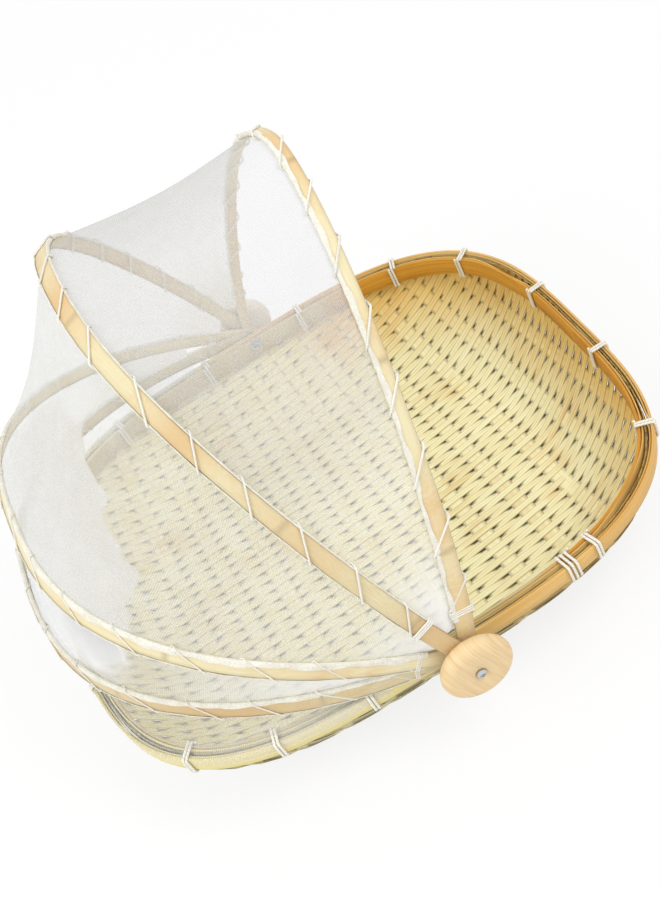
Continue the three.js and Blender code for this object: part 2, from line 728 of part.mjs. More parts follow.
[["far", 0], ["near", Math.PI]].forEach(([side, turn]) => {
  const pivot = new THREE.Group();
  pivot.position.set(PIVOT_OFFSET, 0, pivotHeight);
  pivot.rotation.z = turn;
  addMesh(pivot, `${side}_knob`, knob(), turnedWood);
  addMesh(pivot, `${side}_screw`, screw(), plainSteel);
  addMesh(pivot, `${side}_spacer_washer`, washer(HALF_WIDTH + GAP, SPACER_THICKNESS), plainSteel);
  addMesh(pivot, `${side}_nut_washer`, washer(nutOuterFace + GAP, WASHER_THICKNESS), plainSteel);
  addMesh(pivot, `${side}_nut`, nut(), plainSteel);
  part.add(pivot);
});

console.log(`least gap of a winding to itself: ${Math.min(...windingGaps).toFixed(2)} mm`);

export default part;
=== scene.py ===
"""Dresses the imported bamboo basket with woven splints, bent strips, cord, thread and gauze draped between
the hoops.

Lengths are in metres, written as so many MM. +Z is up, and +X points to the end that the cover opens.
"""
import json
import math

import bpy
import numpy as np
from mathutils import Matrix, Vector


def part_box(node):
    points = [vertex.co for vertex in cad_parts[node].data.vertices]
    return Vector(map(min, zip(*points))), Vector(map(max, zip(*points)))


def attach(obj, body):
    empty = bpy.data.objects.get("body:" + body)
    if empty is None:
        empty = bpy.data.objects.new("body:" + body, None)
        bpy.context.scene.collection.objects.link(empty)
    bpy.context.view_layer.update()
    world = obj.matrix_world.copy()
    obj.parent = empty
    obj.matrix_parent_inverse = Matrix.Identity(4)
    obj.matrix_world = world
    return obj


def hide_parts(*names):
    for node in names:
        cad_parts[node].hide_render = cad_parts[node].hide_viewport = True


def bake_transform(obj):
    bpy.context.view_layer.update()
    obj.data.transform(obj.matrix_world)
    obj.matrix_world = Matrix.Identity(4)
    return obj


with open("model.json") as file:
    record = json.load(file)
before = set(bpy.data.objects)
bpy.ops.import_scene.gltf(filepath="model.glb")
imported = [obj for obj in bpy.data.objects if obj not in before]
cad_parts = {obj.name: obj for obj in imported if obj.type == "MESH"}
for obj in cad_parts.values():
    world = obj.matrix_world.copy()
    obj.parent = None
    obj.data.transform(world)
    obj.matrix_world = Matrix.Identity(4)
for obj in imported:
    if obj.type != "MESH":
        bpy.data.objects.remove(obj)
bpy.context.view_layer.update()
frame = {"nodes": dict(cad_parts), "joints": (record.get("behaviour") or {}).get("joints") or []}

MM = 0.001
TURN = 2 * math.pi
rng = np.random.default_rng(11)

# Sizes read from the frame
outer_low, outer_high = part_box("rim_outer_band")
HALF_LENGTH, HALF_WIDTH, RIM_TOP = outer_high
OUTER_BAND_LOW = outer_low[2]
INNER_BAND_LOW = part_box("rim_inner_band")[0][2]
PIVOT = np.array(frame["joints"][0]["pos_m"], float)

# Basket shell, as the CAD source has it
OUTLINE_POWER = 3.33
WALL_INSET = 2.8 * MM
WALL = 2.2 * MM
BASE_INSET = 50 * MM
FLARE_POWER = 1.35
STRAIGHT_DEPTH = 16.5 * MM
RIM_THICKNESS = 8.1 * MM

# Weave: tight wefts along X, which bend towards +Y at the open end, and broad warps across them
WEFT_PITCH = 4.27 * MM
WEFT_WIDTH = 4.75 * MM
WEFT_THICKNESS = 0.5 * MM
WEFT_SHIFT = -1.8 * MM
WEFT_BEND = (0.055, 0.4, 1.67)
WEFT_BEND_END = 126 * MM
WEFT_OVERRUN = 25 * MM
WEFT_DRIFT = 0.12 * MM
WEFT_DRIFT_PHASE = 4.8
WEFT_DRIFT_WAVE = 60
WEFT_JITTER = 0.03 * MM
WARP_PITCH = 29.1 * MM
WARP_WIDTH = 11.4 * MM
WARP_THICKNESS = 0.6 * MM
WARP_EACH_WAY = 7
WARP_STEP = 4 * MM
WARP_RIPPLE = 0.08 * MM
# The warps' mean lean, its swing, and the middle and width of the change
WARP_LEANS = (math.radians(2.7), math.radians(2.4), 25 * MM, 40 * MM)
WEAVE_LIFT = 0.58 * MM
# Painted shade: a weft's edges and middle groove are darkened, and a weft that dives under a warp is darkened
# far more at its crest and high edge beside the hole.
HOLE_REACH = 2.2 * MM
HOLE_SHADES = (2.0, 5.0)
EDGE_SHADE = 0.42
GROOVE_SHADE = 0.14
GROOVE_RISE = 0.75
# Painted shade at the cut ends of every strip and along the warps' edges.
END_AND_EDGE_SHADE = 0.5
CREST_SHARE = 0.22
EDGE_ROUND_SHARE = 0.3
STRIP_END_CLEAR = 1.5 * MM
WEAVE_TOP_DROP = 1.0 * MM

# Hoops, as the CAD source has them
STRIP_WIDTH = 10.5 * MM
STRIP_THICKNESS = 1.8 * MM
STRIP_TAIL = 7 * MM
STRIP_CROWN = 1.12
STRIP_FACE = STRIP_THICKNESS / 2 * STRIP_CROWN
STRIP_WAVER = 0.03
ARM_STRAIGHT = 22 * MM
FIRST_HOOP_OFFSET = 158.1 * MM
STACK_PITCH = 2.1 * MM
# Each hoop's last value is painted shade that darkens its whole strip.
HOOPS = {
    "a": dict(place=2, angle=77.2, reach=226 * MM, reach_power=1.4, width_power=1.78, narrow=0.7, painted_shade=0.02),
    "b": dict(place=3, angle=110.8, reach=228.4 * MM, reach_power=1.4, width_power=2.45, narrow=0.9, painted_shade=0.1),
    "c": dict(place=1, angle=149.5, reach=199.4 * MM, reach_power=1.9, width_power=2.7, narrow=0.9, painted_shade=0.0),
    "d": dict(place=0, angle=166.8, reach=197 * MM, reach_power=1.9, width_power=2.5, narrow=0.9, painted_shade=0.16),
}
NARROWS_FROM = -60
NARROWS_TO = -38
JOINT_SHADE = 0.32
JOINT_REACH = 2.2 * MM
PLAIN_WARMTH = 0.24
JOINTS = {"a": (-4, -33, -66, 45), "b": (-7, -45, -74, 40), "c": (-38, 15, 60), "d": (-28, -62, 12, 55)}
WARM_ZONES = {
    # middle and half width, in degrees round the hoop as round_hoop gives them, and strength
    "a": [(-2, 8, 0.8), (-31, 5, 0.35), (-60, 7, 0.5), (-78, 8, 0.6), (60, 20, 0.5)],
    "b": [(-3, 6, 0.8), (-28, 4.5, 0.8), (-50, 10, 0.5), (-78, 8, 0.8), (40, 20, 0.5)],
    "c": [(-60, 8, 0.2)],
    "d": [(-46, 16, 0.8), (-8, 12, 0.6), (30, 20, 0.6)],
}
THREAD_RADII = {"a": 0.65 * MM, "b": 0.6 * MM, "c": 0.42 * MM, "d": 0.42 * MM}
THREAD_SEAT = 0.3 * MM
THREAD_LOOPS = 15
THREAD_STARTS = {"a": 31 * MM, "b": 40 * MM, "c": 27 * MM, "d": 27 * MM}
THREAD_WRAPS = 3
THREAD_SPLIT = 14 * MM
THREAD_BEND = 1.2 * MM
# Near the pivots, where the folded hoops lie on each other, the thread is pressed into the strips' faces.
PRESSED_TO = 74 * MM
PRESSED_FADE = 8 * MM
PROUD_INSIDE = 0.03 * MM
PROUD_OUTSIDE = 0.26 * MM

# Cord ties round the rim
CORD_RADIUS = 0.82 * MM
TIES = 16
WIDE_TIE = 13
TIE_SEAT = 0.25 * MM
TIE_TOP_SEAT = 0.05 * MM
TIE_BEND = 1.6 * MM


# Building meshes

class Bundle:
    """Points and faces of one piece. grain holds each point's place along and across the fibres and the
    strand's tone. shade is painted shade: how dark a crevice, an edge or a whole strip is painted, and how
    grey the gauze is painted round the hoops' tops; on the hoops it also marks the bamboo's dark joints."""

    def __init__(self):
        self.points, self.faces, self.grain, self.shade, self.count = [], [], [], [], 0

    def grid(self, rows, grain, ring=True, loop=False, shade=0.0):
        """rows is (n, m, 3). A ring closes each row on itself, and a loop joins the last row to the first."""
        rows = np.asarray(rows, float)
        n, m = rows.shape[:2]
        index = np.arange(n * m).reshape(n, m)
        below = np.vstack([index, index[:1]]) if loop else index
        wide = np.hstack([below, below[:, :1]]) if ring else below
        quads = np.stack([wide[:-1, :-1], wide[:-1, 1:], wide[1:, 1:], wide[1:, :-1]], -1).reshape(-1, 4)
        flat = rows.reshape(-1, 3)
        a, b, c, d = (flat[quads[:, k]] - flat.mean(0) for k in range(4))
        volume = sum(np.einsum("ij,ij->i", a, np.cross(p, q)).sum() for p, q in ((b, c), (c, d)))
        faces = quads.tolist()
        if ring and not loop:
            faces += [index[0, ::-1].tolist(), index[-1].tolist()]
        if ring and volume < 0:
            faces = [face[::-1] for face in faces]
        self.points.append(flat)
        self.grain.append(np.broadcast_to(np.asarray(grain, float), rows.shape).reshape(-1, 3))
        self.shade.append(np.broadcast_to(np.asarray(shade, float), rows.shape[:2]).ravel())
        self.faces += [[k + self.count for k in face] for face in faces]
        self.count += n * m
        return self

    def piece(self, name, material, body=None, slot=None, replaces=(), sharp=40):
        mesh = bpy.data.meshes.new(name)
        mesh.from_pydata(np.vstack(self.points).tolist(), [], self.faces)
        grain = mesh.attributes.new("grain", "FLOAT_VECTOR", "POINT")
        grain.data.foreach_set("vector", np.vstack(self.grain).astype(np.float32).ravel())
        shade = mesh.attributes.new("shade", "FLOAT", "POINT")
        shade.data.foreach_set("value", np.concatenate(self.shade).astype(np.float32))
        mesh.polygons.foreach_set("use_smooth", [True] * len(mesh.polygons))
        mesh.set_sharp_from_angle(angle=math.radians(sharp))
        mesh.materials.append(material)
        obj = add_object(name, mesh)
        if body:
            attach(obj, body)
        if replaces:
            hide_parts(*replaces)
        return obj


def add_object(name, data):
    obj = bpy.data.objects.new(name, data)
    bpy.context.scene.collection.objects.link(obj)
    return obj


def coordinates(*parts):
    """Numbers or arrays that fit each other, joined as the coordinates of points."""
    return np.stack(np.broadcast_arrays(*parts), -1)


def unit(v):
    return v / np.maximum(np.linalg.norm(v, axis=-1, keepdims=True), 1e-12)


def lengths_along(line):
    return np.concatenate([[0], np.cumsum(np.linalg.norm(np.diff(line, axis=0), axis=1))])


def resample(line, count):
    """The line cut into even steps."""
    along = lengths_along(line)
    wanted = np.linspace(0, along[-1], count)
    return np.stack([np.interp(wanted, along, line[:, k]) for k in range(line.shape[1])], -1)


def tube_rows(line, radius, sides):
    """Rings of a tube round a bent line, and the grain coordinates of each of their points."""
    line = np.asarray(line, float)
    before = unit(np.diff(line, axis=0, prepend=line[:1] * 2 - line[1:2]))
    after = unit(np.diff(line, axis=0, append=line[-1:] * 2 - line[-2:-1]))
    tangent = unit(before + after)
    side = np.cross([0, 0, 1.0] if abs(tangent[0, 2]) < 0.9 else [1.0, 0, 0], tangent[0])
    sideways = []
    for t in tangent:
        side = unit(side - (side @ t) * t)
        sideways.append(side)
    side = np.array(sideways)
    up = np.cross(tangent, side)
    turn = np.arange(sides) * TURN / sides
    radius = np.broadcast_to(radius, len(line))[:, None, None]
    spokes = side[:, None] * np.cos(turn)[None, :, None] + up[:, None] * np.sin(turn)[None, :, None]
    rows = line[:, None] + radius * spokes
    along = lengths_along(line)[:, None]
    across = (turn * radius[0, 0, 0])[None]
    return rows, coordinates(along, across, rng.random())


def add_cord(name, line, radius, sides, material, body, node):
    rows, grain = tube_rows(line, radius, sides)
    Bundle().grid(rows, grain).piece(name, material, body, "cord", [node], sharp=80)


def rounded(corners, radius, steps=3):
    """A bent line with each inner corner replaced by a short curve."""
    corners = np.asarray(corners, float)
    line = [corners[0]]
    for before, here, after in zip(corners, corners[1:], corners[2:]):
        start = here + unit(before - here) * min(radius, np.linalg.norm(before - here) / 2)
        end = here + unit(after - here) * min(radius, np.linalg.norm(after - here) / 2)
        for k in range(steps + 1):
            t = k / steps
            line.append(start * (1 - t) ** 2 + here * 2 * t * (1 - t) + end * t**2)
    line.append(corners[-1])
    return np.array(line)


# Materials

class Nodes:
    """Short calls for building one material's nodes."""

    def __init__(self, name):
        self.material = bpy.data.materials.new(name)
        self.material.use_nodes = True
        self.tree = self.material.node_tree
        self.shader = self.tree.nodes["Principled BSDF"]

    def add(self, kind, values=(), **settings):
        node = self.tree.nodes.new(kind)
        for key, value in settings.items():
            setattr(node, key, value)
        for key, value in dict(values).items():
            self.put(node.inputs[key], value)
        return node

    def put(self, socket, value):
        """Links a socket, or sets it to a number or to a colour that is written as a hexadecimal code."""
        if isinstance(value, bpy.types.NodeSocket):
            self.tree.links.new(value, socket)
        else:
            socket.default_value = srgb(value) if isinstance(value, str) else value

    def grain(self):
        """The along, across and tone coordinates as three sockets."""
        return self.parts(self.add("ShaderNodeAttribute", attribute_name="grain").outputs["Vector"])

    def parts(self, vector):
        return self.add("ShaderNodeSeparateXYZ", {0: vector}).outputs

    def place(self):
        return self.add("ShaderNodeTexCoord").outputs["Object"]

    def shade(self):
        return self.add("ShaderNodeAttribute", attribute_name="shade").outputs["Fac"]

    def math(self, operation, a, b=0.0, c=0.0):
        return self.add("ShaderNodeMath", {0: a, 1: b, 2: c}, operation=operation).outputs[0]

    def times(self, a, b):
        return self.math("MULTIPLY", a, b)

    def vector(self, x, y, z=0.0):
        return self.add("ShaderNodeCombineXYZ", {0: x, 1: y, 2: z}).outputs[0]

    def noise(self, vector, scale, detail=2.0, roughness=0.5):
        values = {"Vector": vector, "Scale": scale, "Detail": detail, "Roughness": roughness}
        return self.add("ShaderNodeTexNoise", values).outputs["Fac"]

    def remap(self, value, low, high, to_low=0.0, to_high=1.0):
        values = {"Value": value, "From Min": low, "From Max": high, "To Min": to_low, "To Max": to_high}
        return self.add("ShaderNodeMapRange", values).outputs[0]

    def mix(self, factor, a, b, blend="MIX"):
        node = self.add("ShaderNodeMix", {"Factor": factor}, data_type="RGBA", blend_type=blend)
        self.put(node.inputs[6], a)
        self.put(node.inputs[7], b)
        return node.outputs[2]

    def bump(self, height, distance, strength=0.6):
        values = {"Height": height, "Distance": distance, "Strength": strength}
        return self.add("ShaderNodeBump", values).outputs["Normal"]

    def finish(self, **values):
        for key, value in values.items():
            self.put(self.shader.inputs[key.replace("_", " ")], value)
        return self.material


# The dark colour of painted shade in crevices, on edges and on whole strips, and of the hoops' dark joints.
PAINTED_SHADE_AND_JOINTS = "3a2c0c"


def srgb(code):
    """A linear colour from a hexadecimal screen colour."""
    parts = [int(code[k : k + 2], 16) / 255 for k in (0, 2, 4)]
    return (*[c / 12.92 if c <= 0.04045 else ((c + 0.055) / 1.055) ** 2.4 for c in parts], 1.0)


def bamboo(name, pale, deep, patch, fibre, patch_scale=14.0, patch_low=0.5, patch_high=0.7, tone_share=0.45,
           fibre_share=1.0, golden=None, faded=None, fades_over=(40 * MM, -40 * MM)):
    """Split bamboo: fine fibres along the strip, a tone for each strip, warmer patches, and painted shade in
    crevices and on edges, with the hoops' dark joints.
    """
    n = Nodes(name)
    along, across, tone = n.grain()
    seed = n.times(tone, 37.0)
    fine = n.vector(n.times(along, 14.0), n.times(across, fibre), seed)
    broad = n.vector(n.times(along, 5.0), n.times(across, fibre / 6), seed)
    fibres = n.noise(fine, 1.0, 3.0)
    streaks = n.noise(broad, 1.0)
    place = n.place()
    patches = n.remap(n.noise(place, patch_scale, 2.0), patch_low, patch_high)
    base = n.mix(n.remap(fibres, 0.35, 0.8, 0.0, fibre_share), pale, deep)
    base = n.mix(n.times(patches, n.remap(streaks, 0.35, 0.65)), base, patch)
    base = n.mix(n.remap(tone, 0.2, 1.0, 0.0, tone_share), base, deep)
    if golden:
        length, _, height = n.parts(place)
        up_the_wall = n.remap(height, 8 * MM, 36 * MM, 0.0, 0.9)
        open_end = n.times(up_the_wall, n.remap(length, 10 * MM, 70 * MM))
        base = n.mix(open_end, base, n.mix(1.0, base, golden, "MULTIPLY"))
    if faded:
        length = n.parts(place)[0]
        base = n.mix(n.remap(length, *fades_over, 0.0, 0.88), base, faded)
    # Painted shade: the shade attribute mixes in the dark colour, which also marks the hoops' joints.
    base = n.mix(n.times(n.shade(), 0.94), base, PAINTED_SHADE_AND_JOINTS)
    relief = n.bump(fibres, 0.15 * MM, 0.5)
    return n.finish(Base_Color=base, Roughness=0.5, Specular_IOR_Level=0.2, Normal=relief)


def cord_white(name, tint, twist=1500.0):
    """Twisted cotton: slanting plies and a little fuzz."""
    n = Nodes(name)
    along, across, _ = n.grain()
    plies = n.math("SINE", n.times(n.math("ADD", along, across), twist * 2))
    fuzz = n.noise(n.place(), 1800.0, 2.0)
    # Painted shade: the grooves between the plies are darkened, with random fuzz in the tone.
    depth = n.remap(n.math("MULTIPLY_ADD", plies, 0.5, fuzz), 0.0, 1.0, 0.0, 0.35)
    shade = n.mix(depth, tint, "b9b3a2")
    return n.finish(Base_Color=shade, Roughness=0.9, Normal=n.bump(plies, 0.12 * MM, 0.5))


def hem_white(name):
    """Gauze folded over several times: soft, cloudy and nearly opaque."""
    n = Nodes(name)
    place = n.place()
    weave = n.noise(place, 900.0, 3.0, 0.7)
    clouds = n.noise(place, 130.0, 2.0)
    depth = n.remap(n.math("MULTIPLY_ADD", clouds, 0.6, weave), 0.5, 1.0)
    tint = n.mix(depth, "f7f4e8", "dbd7c8")
    return n.finish(Base_Color=tint, Roughness=0.95, Normal=n.bump(weave, 0.2 * MM, 0.5))


def turned_wood(name, painted_light=0.0):
    """A turned knob with flat-sawn grain across its face, which can be mixed with a pale colour as painted
    light.
    """
    n = Nodes(name)
    x, y, z = n.parts(n.place())
    lean = n.math("MULTIPLY_ADD", z, 0.35, x)
    wander = n.noise(n.vector(n.times(lean, 60.0), y, n.times(z, 14.0)), 1.0, 2.0)
    rings = n.math("SINE", n.math("MULTIPLY_ADD", wander, 9.0, n.times(lean, 900.0)))
    fibres = n.noise(n.vector(n.times(lean, 1500.0), y, n.times(z, 60.0)), 1.0, 2.0)
    base = n.mix(n.remap(rings, -0.6, 1.0, 0.0, 0.3), "eed3a4", "e2c08a")
    base = n.mix(n.remap(fibres, 0.45, 0.75, 0.0, 0.5), base, "cda266")
    # Painted light: a paler copy of the wood, for the far knob's shaded back.
    base = n.mix(painted_light, base, "e6e1d2")
    return n.finish(Base_Color=base, Roughness=0.5, Normal=n.bump(fibres, 0.1 * MM, 0.4))


def steel(name):
    n = Nodes(name)
    place = n.place()
    scuffs = n.remap(n.noise(place, 900.0, 3.0), 0.35, 0.7, 0.22, 0.42)
    return n.finish(Base_Color="c9cbcd", Metallic=1.0, Roughness=scuffs)


NET_PITCH = 1.15 * MM


def gauze_white(name, cover):
    """Open gauze: a net of fine threads that shows what is behind it, closes up where it is gathered, and is
    greyed by painted shade where the shade attribute is set.
    """
    n = Nodes(name)
    along, across, gathered = n.grain()
    cloth = n.vector(along, across)
    uneven = n.noise(cloth, 900.0, 3.0, 0.75)
    clouds = n.noise(cloth, 60.0, 3.0, 0.6)
    threads = [n.math("SINE", n.times(way, TURN / NET_PITCH)) for way in (along, across)]
    net = n.times(n.math("MAXIMUM", *threads), 0.14)
    alpha = n.math("ADD", net, n.remap(uneven, 0.34, 0.66, cover - 0.17, cover + 0.17))
    alpha = n.math("ADD", alpha, n.remap(clouds, 0.3, 0.7, -0.06, 0.06))
    room = n.math("SUBTRACT", 1.0, alpha)
    # The shade attribute, a painted shade, also makes the cloth a little denser.
    dense = n.math("MULTIPLY_ADD", n.shade(), 0.2, gathered)
    alpha = n.math("MULTIPLY_ADD", n.times(room, dense), 0.92, alpha)
    tint = n.mix(n.remap(uneven, 0.35, 0.65), "f6f7f5", "dcdee0")
    tint = n.mix(n.times(gathered, 0.7), tint, "fdfdff")
    # Painted shade: the shade attribute greys the cloth.
    tint = n.mix(n.times(n.shade(), 0.9), tint, "cccccd")
    return n.finish(Base_Color=tint, Roughness=0.95, Alpha=alpha)


GOLDEN = "f3d398"
STRAW = bamboo("straw_splints", "fffbd0", "f3e5aa", "ebc67c", 2200.0, patch_scale=22.0,
               patch_low=0.52, patch_high=0.74, tone_share=0.34, golden=GOLDEN)
WARP_STRAW = bamboo("straw_warps", "fbf4c8", "eadfa8", "ecd6a0", 1400.0, tone_share=0.3, golden=GOLDEN)
BAND = bamboo("rim_band_bamboo", "fad993", "d8ab64", "d5a04c", 1300.0, patch_scale=9.0, faded="ebe0a0")
INNER_BAND = bamboo("inner_band_bamboo", "e7aa42", "c5872c", "b87824", 1300.0,
                    patch_scale=9.0, faded="cbbf94", fades_over=(86 * MM, 56 * MM))
PALE_BAND = bamboo("pale_rim_bamboo", "efdc9f", "cfa75c", "cf9a4a", 1300.0, patch_scale=9.0, faded="ece4b0")
HOOP = bamboo("hoop_bamboo", "ebe4be", "e0ba84", "e2ca9a", 1100.0, patch_scale=30.0,
              patch_low=0.45, tone_share=0.95, fibre_share=0.45)
CORD = cord_white("white_cord", "f8f5ea")
THREAD = cord_white("white_thread", "f8f5ec", twist=2500.0)
# The far knob's wood is painted paler: painted light on its shaded back.
KNOBS = {"near": turned_wood("knob_wood"), "far": turned_wood("painted_light_knob_wood", 0.75)}
STEEL = steel("zinc_steel")
GAUZE = gauze_white("white_gauze", 0.37)
SHEER = gauze_white("sheer_gauze", 0.15)
HEM = hem_white("gauze_hem")


# Basket outline and shell

def outline(turn, inset):
    """x and y of the squared ellipse at each turn, drawn in by inset."""
    cos, sin = np.cos(turn), np.sin(turn)
    power = 2 / OUTLINE_POWER
    x = (HALF_LENGTH - inset) * np.sign(cos) * np.abs(cos) ** power
    y = (HALF_WIDTH - inset) * np.sign(sin) * np.abs(sin) ** power
    return np.stack([x, y], -1)


def even_turns(count):
    """Turns that cut the outline into even lengths, from +X towards +Y."""
    fine = np.linspace(0, TURN, 200 * count + 1)
    along = lengths_along(outline(fine, 0.0))
    return np.interp(np.arange(count) * along[-1] / count, along, fine)


def profile():
    """The wall's middle surface from the rim down: length along it, inset and height."""
    middle = WALL_INSET + WALL / 2
    drop = RIM_TOP - WALL / 2
    turn = np.linspace(0, math.pi / 2, 200)
    inset = middle + BASE_INSET * (1 - np.cos(turn) ** (2 / FLARE_POWER))
    height = RIM_TOP - STRAIGHT_DEPTH - (drop - STRAIGHT_DEPTH) * np.sin(turn) ** (2 / FLARE_POWER)
    inset = np.concatenate([[middle], inset])
    height = np.concatenate([[RIM_TOP], height])
    return lengths_along(np.stack([inset, height], -1)), inset, height


PROFILE_LENGTH, PROFILE_INSET, PROFILE_HEIGHT = profile()
WALL_LENGTH = PROFILE_LENGTH[-1]
SHEET_U = HALF_LENGTH - PROFILE_INSET[-1] + WALL_LENGTH
SHEET_V = HALF_WIDTH - PROFILE_INSET[-1] + WALL_LENGTH


def onto_shell(u, v):
    """The place on the shell's middle surface of each point of the flat woven sheet."""
    low = np.zeros_like(u)
    high = np.full_like(u, WALL_LENGTH)

    def reach(s):
        return np.abs(u / (SHEET_U - s)) ** OUTLINE_POWER + np.abs(v / (SHEET_V - s)) ** OUTLINE_POWER

    for _ in range(34):
        middle = (low + high) / 2
        beyond = reach(middle) > 1
        high = np.where(beyond, middle, high)
        low = np.where(beyond, low, middle)
    s = np.where(reach(np.full_like(u, WALL_LENGTH)) < 1, WALL_LENGTH, (low + high) / 2)
    inset = np.interp(s, PROFILE_LENGTH, PROFILE_INSET)
    x = u * (HALF_LENGTH - inset) / (SHEET_U - s)
    y = v * (HALF_WIDTH - inset) / (SHEET_V - s)
    return np.stack([x, y, np.interp(s, PROFILE_LENGTH, PROFILE_HEIGHT)], -1)


def shell_normal(u, v):
    step = 0.3 * MM
    along_u = onto_shell(u + step, v) - onto_shell(u - step, v)
    along_v = onto_shell(u, v + step) - onto_shell(u, v - step)
    return unit(np.cross(along_u, along_v))


def inside_sheet(u, v):
    reach_u, reach_v = SHEET_U - WEAVE_TOP_DROP, SHEET_V - WEAVE_TOP_DROP
    return np.abs(u / reach_u) ** OUTLINE_POWER + np.abs(v / reach_v) ** OUTLINE_POWER <= 1


def sheet_span(path, reach):
    """The first and last place along a path that lie on the sheet, or None."""
    places = np.linspace(-reach, reach, 401)
    inside = np.nonzero(inside_sheet(*path(places)))[0]
    if len(inside) < 12:
        return None
    ends = []
    for within, step in ((inside[0], -1), (inside[-1], 1)):
        near, far = places[within], places[within] + step * (places[1] - places[0])
        for _ in range(20):
            middle = (near + far) / 2
            near, far = (middle, far) if inside_sheet(*path(middle)) else (near, middle)
        ends.append(near)
    return ends


def lay_strip(bundle, paths, keys, lift, thickness, shades, across, tone):
    """A strip on the shell between two edge paths, from rim to rim. keys are the places between its ends, and
    shades are the painted shade of its low edge, its two crests with a groove between them, and its high
    edge."""
    spans = [sheet_span(path, SHEET_U + SHEET_V) for path in paths]
    if None in spans:
        return
    first, last = max(span[0] for span in spans), min(span[1] for span in spans)
    kept = (keys > first + STRIP_END_CLEAR) & (keys < last - STRIP_END_CLEAR)
    if kept.sum() < 2:
        return
    middle = keys[kept]
    rise = np.concatenate([[0], lift[kept], [0]])
    normal = shell_normal(*[(a + b) / 2 for a, b in zip(paths[0](middle), paths[1](middle))])
    normal = np.vstack([normal[:1], normal, normal[-1:]])
    edges = []
    for path, span in zip(paths, spans):
        places = np.concatenate([[span[0]], middle, [span[1]]])
        edges.append(onto_shell(*path(places)) + normal * rise[:, None])
    half = normal * thickness / 2
    low, high = edges
    near, far = CREST_SHARE, 1 - CREST_SHARE
    rows = np.stack([
        low + half * EDGE_ROUND_SHARE, low * far + high * near + half, (low + high) / 2 + half * GROOVE_RISE,
        low * near + high * far + half, high + half * EDGE_ROUND_SHARE, high - half, low - half,
    ], 1)
    places = np.concatenate([[first], middle, [last]])
    widths = across[0] + np.array([0, near, 0.5, far, 1, 1, 0]) * (across[1] - across[0])
    grain = coordinates(places[:, None], widths[None], tone)
    # Painted shade at the strip's cut ends.
    columns = [np.concatenate([[END_AND_EDGE_SHADE], shades[k][kept], [END_AND_EDGE_SHADE]]) for k in (0, 1, 2, 3, 4, 4, 0)]
    bundle.grid(rows, grain, shade=np.stack(columns, 1))


WARPS = np.arange(-WARP_EACH_WAY, WARP_EACH_WAY + 1) * WARP_PITCH


def warp_slope(place):
    mean, swing, middle, width = WARP_LEANS
    return np.tan(mean + swing * np.tanh((place - middle) / width))


def weft_bow(u):
    """How far a weft has bent towards +Y at u."""
    near = np.minimum(u, WEFT_BEND_END)
    tilt, bend, twist = WEFT_BEND
    slope = tilt + 2 * bend * WEFT_BEND_END + 3 * twist * WEFT_BEND_END**2
    return tilt * near + bend * near**2 + twist * near**3 + slope * np.maximum(u - WEFT_BEND_END, 0)


def weft_keys():
    """Places along a weft, the warp that each belongs to, its height there and its nearness to a hole."""
    gap = WARP_PITCH - WARP_WIDTH
    keys, warps, heights, holes = [], [], [], []
    for k, centre in enumerate(WARPS):
        for share in (-1.0, -0.5, 0.5, 1.0):
            keys.append(centre + share * WARP_WIDTH / 2)
            warps.append(k)
            heights.append(1.0 if abs(share) < 1 else 0.97)
            holes.append(1.0 if abs(share) == 1 else 0.35)
        for share in (0.1, 0.28, 0.5, 0.72, 0.9):
            keys.append(centre + WARP_WIDTH / 2 + share * gap)
            warps.append(k)
            heights.append(math.cos(math.pi * share))
            edge = min(share, 1 - share) * gap
            holes.append(math.exp(-((edge / HOLE_REACH) ** 2)))
    return np.array(keys), np.array(warps), np.array(heights), np.array(holes)


